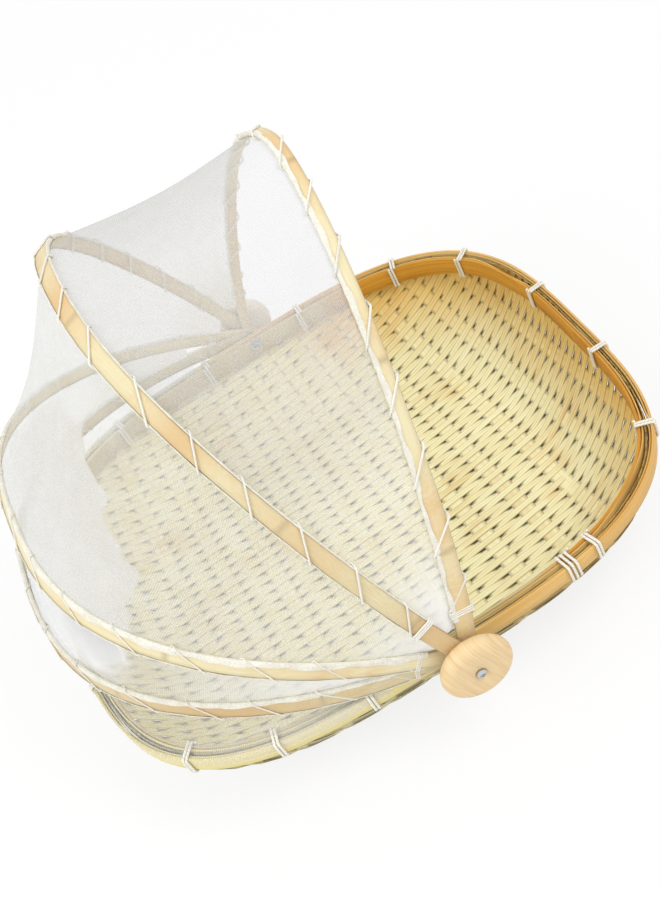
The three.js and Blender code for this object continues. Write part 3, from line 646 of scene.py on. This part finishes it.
def add_weave():
    wefts = Bundle()
    keys, owners, heights, holes = weft_keys()
    slopes = warp_slope(WARPS)[owners]
    half = WEFT_WIDTH / 2
    count = int((SHEET_V + WEFT_OVERRUN) / WEFT_PITCH) + 1
    for j in range(-count, count + 1):
        v0 = j * WEFT_PITCH + WEFT_SHIFT
        tone = rng.random()
        drift, phase = rng.uniform(-1, 1, 2) * (WEFT_DRIFT, WEFT_DRIFT_PHASE)
        places = keys - slopes * (v0 + weft_bow(keys))
        over = np.where((j + owners) % 2 == 0, 1.0, -1.0) * heights
        lift = over * WEAVE_LIFT + rng.normal(0, WEFT_JITTER, len(keys))
        # Painted shade: where a weft dives under a warp, its crest and high edge are darkened beside the
        # hole, and every weft's edges and groove a little.
        hole = holes * rng.uniform(0.6, 1.1, len(keys)) * np.clip(-over, 0, 1)
        plain = np.zeros(len(keys))
        edge_shade = plain + EDGE_SHADE
        crest_hole, edge_hole = [np.clip(hole * share, 0, 1) for share in HOLE_SHADES]
        shades = (edge_shade, plain, plain + GROOVE_SHADE, crest_hole, np.maximum(edge_shade, edge_hole))

        def edge(offset):
            def path(u):
                return u, v0 + weft_bow(u) + offset + drift * np.sin(u * WEFT_DRIFT_WAVE + phase)

            return path

        paths = (edge(-half), edge(half))
        lay_strip(wefts, paths, places, lift, WEFT_THICKNESS, shades, (v0 - half, v0 + half), tone)
    wefts.piece("weft_splints", STRAW, "basket", "bamboo_weave", ["basket_body"], sharp=50)

    warps = Bundle()
    keys = np.arange(-SHEET_V, SHEET_V, WARP_STEP)
    nothing = np.zeros(len(keys))
    for k, centre in enumerate(WARPS):
        slope = warp_slope(centre)
        half = WARP_WIDTH / 2 * rng.uniform(0.95, 1.05)

        def edge(offset):
            def path(v):
                return centre - slope * v + offset, v

            return path

        ripple = WARP_RIPPLE * np.cos((keys - WEFT_SHIFT) * TURN / (2 * WEFT_PITCH) + k * math.pi)
        # Painted shade along the warps' edges.
        shades = (nothing + END_AND_EDGE_SHADE, nothing, nothing, nothing, nothing + END_AND_EDGE_SHADE)
        paths = (edge(-half), edge(half))
        across = (centre - half, centre + half)
        lay_strip(warps, paths, keys, ripple, WARP_THICKNESS, shades, across, rng.random())
    warps.piece("warp_splints", WARP_STRAW, "basket", "bamboo_weave", sharp=50)


# Rim strips and ties

INNER_GAPE_SHARE = 0.45
RIM_STRIPS = {
    # insets of the two faces, low edge, top edge's drop, share of the gape, material, replaced nodes
    "rim_outer_strip": (0.0, 1.35 * MM, OUTER_BAND_LOW, 0.0, 0.0, BAND, ["rim_outer_band"]),
    "rim_outer_liner": (1.8 * MM, 2.6 * MM, OUTER_BAND_LOW + 1 * MM, 0.5 * MM, 0.12, PALE_BAND, []),
    "rim_inner_liner": (5.2 * MM, 6.1 * MM, INNER_BAND_LOW + 1.5 * MM, 0.4 * MM, 1.0, PALE_BAND, []),
    "rim_inner_strip": (6.6 * MM, RIM_THICKNESS, INNER_BAND_LOW, 0.0, INNER_GAPE_SHARE, INNER_BAND,
                        ["rim_inner_band"]),
}
# Middle and half width as shares of the way round from +X, and how far the inner strips stand off there
RIM_GAPES = [(0.066, 0.026, 1.9 * MM), (0.872, 0.036, 2.2 * MM), (0.755, 0.03, 0.8 * MM)]
LOW_WANDER = 0.18 * MM
HIGH_WANDER = 0.15 * MM


def gape(share):
    """How far the inner strips stand off the woven edge, in a few places between ties."""
    total = np.zeros_like(share)
    for middle, half, depth in RIM_GAPES:
        away = np.clip(np.abs((share - middle + 0.5) % 1 - 0.5) / half, 0, 1)
        total += depth * np.cos(away * math.pi / 2) ** 2
    return total


def add_rim():
    count = 260
    turns = even_turns(count)
    share = np.arange(count) / count
    perimeter = lengths_along(outline(turns, 0.0))[-1]
    soft = 0.28 * MM
    for name, (outer, inward, low_edge, drop, gape_share, material, nodes) in RIM_STRIPS.items():
        low = low_edge + LOW_WANDER * np.sin(share * TURN * 5 + low_edge * 9000)
        high = RIM_TOP - drop - HIGH_WANDER + HIGH_WANDER * np.sin(share * TURN * 7 + outer * 9000)
        off = gape(share) * gape_share
        outer, inward = outer + off, inward + off
        section = [
            (outer, low + soft), (outer, (low + high) / 2), (outer, high - soft), (outer + soft, high),
            (inward - soft, high), (inward, high - soft), (inward, (low + high) / 2), (inward, low + soft),
            (inward - soft, low), (outer + soft, low),
        ]
        rows = []
        for inset, height in section:
            rows.append(np.concatenate([outline(turns, inset), height[:, None]], 1))
        rows = np.stack(rows, 1)
        across = np.cumsum([0, 5, 5, 1, 1, 1, 5, 5, 1, 1]) * MM
        grain = coordinates(share[:, None] * perimeter, across[None], rng.random())
        bundle = Bundle().grid(rows, grain, loop=True)
        bundle.piece(name, material, "basket", "bamboo_band", nodes, sharp=55)


def add_ties():
    """Cord wound over both bands and through the weave below them, at the places that the frame gives."""
    reach = TIE_SEAT + CORD_RADIUS
    top = TIE_TOP_SEAT + CORD_RADIUS
    count = 2000
    turns = even_turns(count)
    middle = outline(turns, RIM_THICKNESS / 2)
    outer = outline(turns, 0.0)
    for number in range(1, TIES + 1):
        loops, spacing = (3, 1.1 * MM) if number == WIDE_TIE else (2, 0.35 * MM)
        node = f"rim_tie_{number}"
        low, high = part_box(node)
        centre = (np.array(low) + np.array(high)) / 2
        nearest = int(np.argmin(np.linalg.norm(middle - centre[:2], axis=1)))
        along = unit(outer[(nearest + 3) % count] - outer[nearest - 3])
        outward = np.array([along[1], -along[0]])
        inset_inner = RIM_THICKNESS + gape(np.array([nearest / count]))[0] * INNER_GAPE_SHARE
        inner = float((outer[nearest] - outline(turns[nearest : nearest + 1], inset_inner)[0]) @ outward)
        corners = [
            (-inner - reach, RIM_TOP + top),
            (reach, RIM_TOP + top),
            (reach, OUTER_BAND_LOW - reach),
            (-inner / 2, INNER_BAND_LOW - reach),
            (-inner - reach, INNER_BAND_LOW - reach * 1.4),
        ]
        pitch = 2 * CORD_RADIUS + spacing
        total = loops * len(corners)
        line = []
        for i in range(total + 1):
            out, z = corners[i % len(corners)]
            sideways = (i / total - 0.5) * loops * pitch
            xy = outer[nearest] + outward * out + along * sideways
            line.append([*xy, z])
        add_cord(f"tie_{number}", rounded(line, TIE_BEND), CORD_RADIUS, 8, CORD, "basket", node)


# Hoops and their thread

def hoop_line(hoop, count, start=0.0):
    """Reach and width of the hoop's centre line, from the arm on -Y to the arm on +Y, at even lengths."""
    turn = np.linspace(0, math.pi / 2, 1500)
    offset = FIRST_HOOP_OFFSET + hoop["place"] * STACK_PITCH
    reach = ARM_STRAIGHT + (hoop["reach"] - ARM_STRAIGHT) * np.cos(turn) ** (2 / hoop["reach_power"])
    width = offset * np.sin(turn) ** (2 / hoop["width_power"])
    half = np.vstack([np.stack([reach, width], -1), [[-STRIP_TAIL, offset]]])
    whole = np.vstack([half[:0:-1] * [1, -1], half])
    fine = resample(whole, 6000)
    keep = fine[:, 0] >= start if start > -STRIP_TAIL else np.ones(len(fine), bool)
    return resample(fine[keep], count)


def normals_of(line):
    tangent = unit(np.gradient(line, axis=0))
    return np.stack([tangent[:, 1], -tangent[:, 0]], -1)


def round_hoop(flat):
    """The place round a hoop in degrees, from -90 at the near pivot to 90 at the far one."""
    return np.degrees(np.arctan2(flat[..., 1], np.maximum(flat[..., 0], 0)))


def half_width(hoop, flat):
    """Half the strip's width, which narrows away from the near pivot."""
    share = np.clip((round_hoop(flat) - NARROWS_FROM) / (NARROWS_TO - NARROWS_FROM), 0, 1)
    return STRIP_WIDTH / 2 * (1 - (1 - hoop["narrow"]) * share * share * (3 - 2 * share))


def place_on_hoop(hoop, flat, beside):
    """A point of the hoop's plane, moved beside it along the strip's width."""
    angle = math.radians(hoop["angle"])
    x = PIVOT[0] + flat[..., 0] * math.cos(angle) - beside * math.sin(angle)
    z = PIVOT[2] + flat[..., 0] * math.sin(angle) + beside * math.cos(angle)
    return coordinates(x, flat[..., 1], z)


def add_hoop(letter):
    hoop = HOOPS[letter]
    body = f"hoop_{letter}_body"
    count = 200
    line = hoop_line(hoop, count, -STRIP_TAIL)
    normal = normals_of(line)
    along = lengths_along(line)
    share = along / along[-1]
    end = np.minimum(along, along[-1] - along)
    tip = np.clip(end / (STRIP_WIDTH * 0.55), 0, 1)
    half = half_width(hoop, line) * (0.35 + 0.65 * np.sqrt(1 - (1 - tip) ** 2))
    half = half * (1 + STRIP_WAVER * np.sin(share * 23 + hoop["angle"]))
    place = round_hoop(line)
    joints = [along[int(np.argmin(np.abs(place - joint)))] for joint in JOINTS[letter]]
    ridge = sum(np.exp(-(((along - joint) / JOINT_REACH) ** 2)) for joint in joints)
    half_thick = STRIP_THICKNESS / 2 * (0.94 + 0.22 * ridge)
    soft = 0.4 * MM
    section = [
        (1, -1, 0, soft), (STRIP_CROWN, -0.4, 0, 0), (STRIP_CROWN, 0.4, 0, 0), (1, 1, 0, -soft),
        (1, 1, -soft, 0), (-1, 1, soft, 0), (-1, 1, 0, -soft), (-1, -1, 0, soft), (-1, -1, soft, 0),
        (1, -1, -soft, 0),
    ]
    rows = []
    for out, up, trim_out, trim_up in section:
        flat = line + normal * (out * half_thick + trim_out)[:, None]
        rows.append(place_on_hoop(hoop, flat, up * half + trim_up))
    across = np.cumsum([0, 3, 4, 3, 1, 1, 1, 9, 1, 1]) * MM
    warm = np.full(count, PLAIN_WARMTH)
    for middle, reach, strength in WARM_ZONES[letter]:
        zone = strength * np.exp(-(((place - middle) / reach) ** 2))
        warm = np.maximum(warm, PLAIN_WARMTH + (1 - PLAIN_WARMTH) * zone)
    grain = coordinates(along[:, None], across[None], warm[:, None])
    # Painted shade: the strip's narrow sides are darkened, the edges of its outer face a little, and a whole
    # strip as its hoop gives; the joints' dark marks are the bamboo's own.
    shade = np.maximum([0.12, 0, 0, 0.12, 0.5, 0.5, 0, 0, 0.5, 0.5], hoop["painted_shade"])
    shade = np.maximum(shade[None], JOINT_SHADE * ridge[:, None] ** 3)
    bundle = Bundle().grid(np.stack(rows, 1), grain, shade=shade)
    bundle.piece(f"hoop_{letter}_strip", HOOP, body, "bamboo_hoop", [f"hoop_{letter}"], sharp=50)


def add_thread(letter):
    """Sewing thread round the strip: close turns by each pivot, and long slanting turns between them."""
    hoop = HOOPS[letter]
    line = hoop_line(hoop, 2400, THREAD_STARTS[letter])
    normal = normals_of(line)
    length = lengths_along(line)[-1]
    radius = THREAD_RADII[letter]
    close = 2.2 * radius
    long = rng.uniform(0.85, 1.15, THREAD_LOOPS)
    long *= (length - 2 * THREAD_WRAPS * close) / long.sum()
    steps = np.concatenate([[close] * THREAD_WRAPS, long, [close] * THREAD_WRAPS])
    starts = np.concatenate([[0], np.cumsum(steps)])
    loose = STRIP_FACE + THREAD_SEAT + radius
    tight = {1: STRIP_FACE + PROUD_OUTSIDE - radius, -1: STRIP_FACE + PROUD_INSIDE - radius}
    if letter == "b":
        # No hoop lies on the outer face of the outermost one.
        tight[1] = loose
    up_reach = THREAD_SEAT + radius
    corners = [(1, 1, 0.0), (1, -1, 0.46), (-1, -1, 0.52), (-1, 1, 0.96)]
    points = []
    for begin, step in zip(starts, steps):
        for out, up, share in corners:
            k = int(np.clip((begin + share * step) / length, 0, 1) * (len(line) - 1))
            pressed = np.clip((PRESSED_TO - line[k, 0]) / PRESSED_FADE, 0, 1)
            flat = line[k] + normal[k] * out * (loose + (tight[out] - loose) * pressed)
            half = half_width(hoop, line[k]) * (1 + STRIP_WAVER)
            points.append(place_on_hoop(hoop, flat, up * (half + up_reach)))
    dense = []
    for a, b in zip(points, points[1:]):
        dense.append(a)
        if np.linalg.norm(a - b) > THREAD_SPLIT:
            dense += [a * 0.67 + b * 0.33, a * 0.33 + b * 0.67]
    dense.append(points[-1])
    name = f"hoop_{letter}"
    line = rounded(dense, THREAD_BEND, 2)
    add_cord(f"{name}_thread", line, radius, 6, THREAD, f"{name}_body", f"{name}_stitching")


# Gauze

HEM_TUCK = 0.6 * MM
HEM_IN = STRIP_THICKNESS / 2 + 0.55 * MM
HEM_FOLDS = {
    # how far the fold reaches over the strip's outer face, on side 1 or -1 of a hoop, as sewn_edge has them
    ("a", 1): 2.0 * MM,
    ("b", 1): 0.3 * MM,
    ("b", -1): 0.12 * MM,
    ("c", 1): 0.6 * MM,
    ("c", -1): 2.6 * MM,
    ("d", 1): 0.6 * MM,
    ("d", -1): 1.7 * MM,
}
HEM_THICKNESS = 0.25 * MM
HEM_LEAD = 3 * MM
# The hems thin out towards the pivots over this stretch, by their distance from the pivots' middle
HEM_THINS_FROM = 170 * MM
HEM_THINS_OVER = 10 * MM
HEM_CLEAR = 0.02 * MM
BAG_SAG = 39 * MM
BAG_DROOP = 54 * MM
BAG_SPAN = (0.24, 0.86)
SKIRT_LAP = [
    # inset from the rim's outer face, and height, from the skirt's lower edge up over the rim
    (-0.2 * MM, RIM_TOP - 6 * MM),
    (-0.2 * MM, RIM_TOP - 3 * MM),
    (-0.2 * MM, RIM_TOP + 0.1 * MM),
    (RIM_THICKNESS / 2, RIM_TOP + 0.2 * MM),
]
SKIRT_START = 44 * MM
PLEATS = 0.9
GATHER_SPREAD = 34 * MM
GAUZE_PANELS = {
    # the hoops on its folded side and its open side, and the node that it replaces
    # Each panel's value just before its seed is how strongly painted shade greys it round the hoops' tops.
    "gauze_front": dict(hoops="ba", node="gauze_front_panel", start=25 * MM, steps=24, sag=5 * MM,
                        wrinkle=0.5 * MM, bag=0.0, crown_shade=0.82, seed=3),
    "gauze_middle": dict(hoops="cb", node="gauze_middle_panel", start=22 * MM, steps=28, sag=6 * MM,
                         wrinkle=0.8 * MM, bag=0.0, crown_shade=0.0, seed=5),
    "gauze_rear_bag": dict(hoops="dc", node="gauze_rear_panel", start=46 * MM, steps=32, sag=3 * MM,
                           wrinkle=1.2 * MM, bag=1.0, crown_shade=0.0, seed=8),
}


def sewn_edge(hoop, side, count, start):
    """The line under the strip where a panel is sewn on. Side 1 faces the folded end, and -1 the open end."""
    line = hoop_line(hoop, count, start)
    flat = line - normals_of(line) * HEM_IN
    return place_on_hoop(hoop, flat, side * (half_width(hoop, line) - HEM_TUCK))


def smooth_noise(shape, waves, seed):
    """A sum of a few seeded waves over a grid, from about -1 to 1."""
    source = np.random.default_rng(seed)
    i, j = np.meshgrid(np.linspace(0, 1, shape[0]), np.linspace(0, 1, shape[1]), indexing="ij")
    total = np.zeros(shape)
    for along, across, weight in waves:
        phase = source.random(2) * TURN
        total += weight * np.sin(TURN * along * i + phase[0] + 1.3 * np.sin(TURN * across * j + phase[1]))
    return total


def drape(start, end, steps, sag, wrinkle, bag, crown_shade, seed):
    """A sheet between two sewn lines: sag towards the pivots, wrinkles, and the bag of spare cloth."""
    count = len(start)
    share = np.linspace(0, 1, steps + 1)[None, :, None]
    along = np.linspace(0, 1, count)
    points = start[:, None] * (1 - share) + end[:, None] * share
    inward = unit((PIVOT - points) * [1, 0, 1])
    belly = np.sin(math.pi * share[..., 0])
    crown = np.sin(math.pi * along)[:, None]
    lobe = np.sin(math.pi * np.clip((along - BAG_SPAN[0]) / (BAG_SPAN[1] - BAG_SPAN[0]), 0, 1)) ** 1.6
    hanging = bag * lobe[:, None]
    folds = smooth_noise((count, steps + 1), [(7, 0.6, 0.5), (13, 0.9, 0.3), (23, 1.4, 0.2)], seed)
    pleats = np.sin(share[..., 0] * TURN * 3.5 + 2.5 * np.sin(along * TURN * 2)[:, None] + seed)
    folds = folds + PLEATS * (1 - crown) ** 1.5 * pleats
    depth = belly * (crown * sag + wrinkle * folds * (0.35 + 0.65 * crown) + BAG_SAG * hanging)
    bend = 2.5 * np.sin(TURN * 3 * along[:, None] + seed)
    creases = np.sin(TURN * (9 * along[:, None] + 1.5 * share[..., 0]) + bend)
    depth = depth + belly * hanging * MM * (5 * folds + 0.9 * creases)
    points = points + inward * depth[..., None]
    points[..., 2] -= BAG_DROOP * hanging * belly**2
    spread = np.linalg.norm(start - end, axis=1)[:, None]
    gathered = np.clip(1.15 - spread / GATHER_SPREAD, 0, 0.9)
    bagged = np.clip((hanging - 0.12) / 0.22, 0, 1) * np.clip(belly * 4, 0, 1) * 0.92
    # Painted shade: the panel is greyed round the hoops' tops.
    crown_greying = crown_shade * np.clip((crown - 0.45) / 0.25, 0, 1) * np.ones_like(belly)
    return points, np.maximum(gathered, bagged), crown_greying


def add_panel(name, rows, gathered, crown_greying, node, material=GAUZE):
    """A gauze sheet that takes the place of a node."""
    n, m = rows.shape[:2]
    along = lengths_along(rows[:, m // 2])[:, None]
    across = np.linspace(0, 1, m)[None] * np.linalg.norm(rows[n // 2, 0] - rows[n // 2, -1])
    bundle = Bundle().grid(rows, coordinates(along, across, gathered), ring=False, shade=crown_greying)
    panel = bundle.piece(name, material, sharp=180)
    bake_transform(panel)
    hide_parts(node)


def add_gauze(hems):
    count = 220
    for name, plan in GAUZE_PANELS.items():
        folded, opened = plan["hoops"]
        low = sewn_edge(HOOPS[folded], -1, count, plan["start"])
        high = sewn_edge(HOOPS[opened], 1, count, plan["start"])
        looks = [plan[key] for key in ("steps", "sag", "wrinkle", "bag", "crown_shade", "seed")]
        rows, gathered, crown_greying = drape(low, high, *looks)
        add_panel(name, rows, gathered, crown_greying, plan["node"])

    steps = 12
    high = sewn_edge(HOOPS["d"], 1, count, SKIRT_START)
    turns = even_turns(4000)
    laps = []
    for inset, height in SKIRT_LAP:
        ring = outline(turns, inset)
        ring = ring[ring[:, 0] < high[0, 0]][::-1]
        order = np.argsort(np.arctan2(ring[:, 1], -ring[:, 0] - 0.5 * HALF_LENGTH))
        laps.append(np.concatenate([resample(ring[order], count), np.full((count, 1), height)], 1))
    rows, gathered, crown_greying = drape(laps[-1], high, steps, 2 * MM, 1.0 * MM, 0.0, 0.0, 13)
    rows = np.concatenate([np.stack(laps[:-1], 1), rows], 1)
    lapped = [np.repeat(values[:, :1] * 0.3, len(laps) - 1, 1) for values in (gathered, crown_greying)]
    gathered = np.concatenate([lapped[0], gathered * 0.3], 1)
    crown_greying = np.concatenate([lapped[1], crown_greying], 1)
    add_panel("gauze_skirt_sheet", rows, gathered, crown_greying, "gauze_skirt",
              SHEER)


def add_hems():
    """The gauze's edge, folded round each side of a hoop that has a panel and held by the thread."""
    hems = {}
    for (letter, side), fold in HEM_FOLDS.items():
        hoop = HOOPS[letter]
        count = 320
        line = hoop_line(hoop, count, THREAD_STARTS[letter] - HEM_LEAD)
        normal = normals_of(line)
        along = lengths_along(line)
        waves = np.sin(along * 150 + side) + np.sin(along * 390 + hoop["place"]) * 0.6
        fold_out = fold * (1 + 0.3 * waves)
        fold_in = fold * 0.7 * (1 - 0.2 * waves)
        face = STRIP_FACE
        edge = half_width(hoop, line) * (1 + STRIP_WAVER)
        thick = HEM_THICKNESS * (1 + 0.25 * np.sin(along * 700 + side * 2))
        thinning = (np.linalg.norm(line, axis=1) - HEM_THINS_FROM) / HEM_THINS_OVER
        thick = thick * np.clip(thinning, 0.2, 1)
        inside, beside = face + HEM_CLEAR, edge + HEM_CLEAR
        section = [
            (face + thick, edge - fold_out), (face + thick, edge), (face * 0.6, edge + thick * 1.6),
            (-face * 0.6, edge + thick * 1.6), (-face - thick, edge), (-face - thick, edge - fold_in),
            (-inside, edge - fold_in), (-inside, beside), (inside, beside), (inside, edge - fold_out),
        ]
        rows = []
        for out, up in section:
            flat = line + normal * np.broadcast_to(out, count)[:, None]
            rows.append(place_on_hoop(hoop, flat, side * up))
        across = np.arange(len(section)) * 0.8 * MM
        bundle = Bundle().grid(np.stack(rows, 1), coordinates(along[:, None], across[None], 0.5))
        name = f"hoop_{letter}_hem_{'rear' if side > 0 else 'front'}"
        hems[letter, side] = bundle.piece(name, HEM, f"hoop_{letter}_body", "gauze", sharp=70)
    return hems


# Pivot hardware

KNOB_BORE_RADIUS = 1.8 * MM
KNOB_BULGE = 0.02
# Radius and depth below the face, from the dished face to the screw's seat
KNOB_DISH = [(3.9 * MM, 0.25 * MM), (3.3 * MM, 0.6 * MM), (3.2 * MM, 0.8 * MM), (KNOB_BORE_RADIUS, 0.8 * MM)]


def add_knob(side, turn):
    """A turned knob with a round edge. turn is its side of the basket: 1 for +Y, and -1 for -Y."""
    low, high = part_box(f"{side}_knob")
    radius = (high[0] - low[0]) / 2
    thickness = high[1] - low[1]
    back = min(abs(low[1]), abs(high[1]))
    edge = thickness / 2
    points = [(KNOB_BORE_RADIUS, 0.0), (radius * 0.62, 0.0)]
    for angle in np.linspace(-math.pi / 2, math.pi / 2, 15):
        reach = radius * (1 + KNOB_BULGE * math.cos(angle)) / (1 + KNOB_BULGE) - edge
        points.append((reach + edge * math.cos(angle), edge + edge * math.sin(angle)))
    points.append((radius * 0.5, thickness - 0.05 * MM))
    points += [(r, thickness - depth) for r, depth in KNOB_DISH]
    count = 96
    angles = np.arange(count) * TURN / count
    rows = []
    for r, h in points:
        x = PIVOT[0] + r * np.cos(angles)
        z = PIVOT[2] + r * np.sin(angles)
        rows.append(np.stack([x, np.full(count, turn * (back + h)), z], -1))
    bundle = Bundle().grid(rows, [0, 0, 0.5], loop=True)
    bundle.piece(f"{side}_turned_knob", KNOBS[side], "basket", "turned_wood", [f"{side}_knob"], sharp=35)


def dress_hardware():
    for side in ("far", "near"):
        for item in ("screw", "spacer_washer", "nut_washer", "nut"):
            slots = frame["nodes"][f"{side}_{item}"].data.materials
            slots.clear()
            slots.append(STEEL)


# Stage, light and camera

FLOOR_REACH = 4.0
FLOOR_GLOW = 0.82
# The floor glows outside a squared ellipse round the basket, so that the shadow beneath it stays.
SHADOW_HALF_LENGTH = 184 * MM
SHADOW_HALF_WIDTH = 155 * MM
SHADOW_SHIFT = 40 * MM
WORLD_LIGHT = 0.62
LAMPS = [
    # name, place, size, power
    ("key_light", (0.8, -0.6, 1.5), 0.9, 11.0),
    ("fill_light", (-1.1, -0.5, 1.1), 1.2, 10.0),
    ("back_light", (-0.2, 1.3, 1.2), 1.0, 4.0),
]


def seen_rays(tree):
    """1 for camera, glossy and transmission rays, so that metal shows the pale background too."""
    path = tree.nodes.new("ShaderNodeLightPath").outputs
    seen = path["Is Camera Ray"]
    for ray in ("Is Glossy Ray", "Is Transmission Ray"):
        either = tree.nodes.new("ShaderNodeMath")
        either.operation = "MAXIMUM"
        tree.links.new(seen, either.inputs[0])
        tree.links.new(path[ray], either.inputs[1])
        seen = either.outputs[0]
    return seen


def stand(name, data, place, right, up, back):
    """A lamp or camera at a place, looking away from back."""
    axes = Matrix(np.stack([right, up, back], -1).tolist()).to_4x4()
    obj = add_object(name, data)
    obj.matrix_world = Matrix.Translation(place) @ axes
    return obj


def add_stage():
    mesh = bpy.data.meshes.new("floor")
    corners = [(x * FLOOR_REACH, y * FLOOR_REACH, 0) for x, y in ((-1, -1), (1, -1), (1, 1), (-1, 1))]
    mesh.from_pydata(corners, [], [(0, 1, 2, 3)])
    floor = add_object("floor", mesh)
    n = Nodes("pale_floor")
    tree = n.tree
    n.finish(Base_Color=(0.9, 0.9, 0.9, 1.0), Roughness=0.9)
    seen = seen_rays(tree)
    glow = n.add("ShaderNodeEmission", {"Color": (1, 1, 1, 1), "Strength": 1.0})
    x, y, _ = n.parts(n.add("ShaderNodeNewGeometry").outputs["Position"])
    along = n.math("DIVIDE", x, SHADOW_HALF_LENGTH)
    across = n.math("DIVIDE", n.math("SUBTRACT", y, SHADOW_SHIFT), SHADOW_HALF_WIDTH)
    away = n.math("ADD", *[n.math("POWER", n.math("ABSOLUTE", way), 3.0) for way in (along, across)])
    clear = n.remap(away, 0.8, 1.05, 0.0, FLOOR_GLOW)
    blend = n.add("ShaderNodeMixShader", {0: n.times(seen, clear)})
    tree.links.new(n.shader.outputs[0], blend.inputs[1])
    tree.links.new(glow.outputs[0], blend.inputs[2])
    tree.links.new(blend.outputs[0], tree.nodes["Material Output"].inputs["Surface"])
    mesh.materials.append(n.material)

    world = bpy.data.worlds.new("studio")
    bpy.context.scene.world = world
    world.use_nodes = True
    tree = world.node_tree
    background = tree.nodes["Background"]
    sky = tree.nodes.new("ShaderNodeMapRange")
    sky.inputs["To Min"].default_value = WORLD_LIGHT
    sky.inputs["To Max"].default_value = 1.0
    tree.links.new(seen_rays(tree), sky.inputs["Value"])
    tree.links.new(sky.outputs[0], background.inputs["Strength"])
    background.inputs["Color"].default_value = (1, 1, 1, 1)


def add_lights():
    aim = np.array([0, 0, 0.08])
    for name, place, size, power in LAMPS:
        lamp = bpy.data.lights.new(name, "AREA")
        lamp.shape = "DISK"
        lamp.size = size
        lamp.energy = power
        back = unit(np.array(place) - aim)
        right = unit(np.cross([0, 0, 1.0], back))
        stand(name, lamp, place, right, np.cross(back, right), back)


# The photograph's viewing angle in radians, and the camera's target, from the middle of the rim's top
CAMERA_AZIMUTH = -0.064947
CAMERA_ELEVATION = 0.770865
CAMERA_ROLL = -0.509278
CAMERA_DISTANCE = 854.242 * MM
CAMERA_TARGET = (10.054 * MM, 17.699 * MM, 0.0)
FOCAL_PIXELS = 1400.965
PHOTO_HEIGHT = 900
SENSOR = 36.0


def add_camera():
    az, el, roll = CAMERA_AZIMUTH, CAMERA_ELEVATION, CAMERA_ROLL
    back = np.array([math.sin(az) * math.cos(el), -math.cos(az) * math.cos(el), math.sin(el)])
    right = np.array([math.cos(az), math.sin(az), 0.0])
    up = np.cross(back, right)
    rolled_right = math.cos(roll) * right + math.sin(roll) * up
    rolled_up = -math.sin(roll) * right + math.cos(roll) * up
    data = bpy.data.cameras.new("photo_camera")
    data.sensor_width = SENSOR
    data.lens = FOCAL_PIXELS * SENSOR / PHOTO_HEIGHT
    data.clip_start = 10 * MM
    place = np.array(CAMERA_TARGET) + [0, 0, RIM_TOP] + back * CAMERA_DISTANCE
    camera = stand("photo_camera", data, place.tolist(), rolled_right, rolled_up, back)
    bpy.context.scene.camera = camera


add_camera()
add_weave()
add_rim()
add_ties()
for letter in HOOPS:
    add_hoop(letter)
    add_thread(letter)
add_gauze(add_hems())
add_knob("far", 1)
add_knob("near", -1)
dress_hardware()
add_stage()
add_lights()

bpy.context.scene.view_settings.view_transform = "Standard"
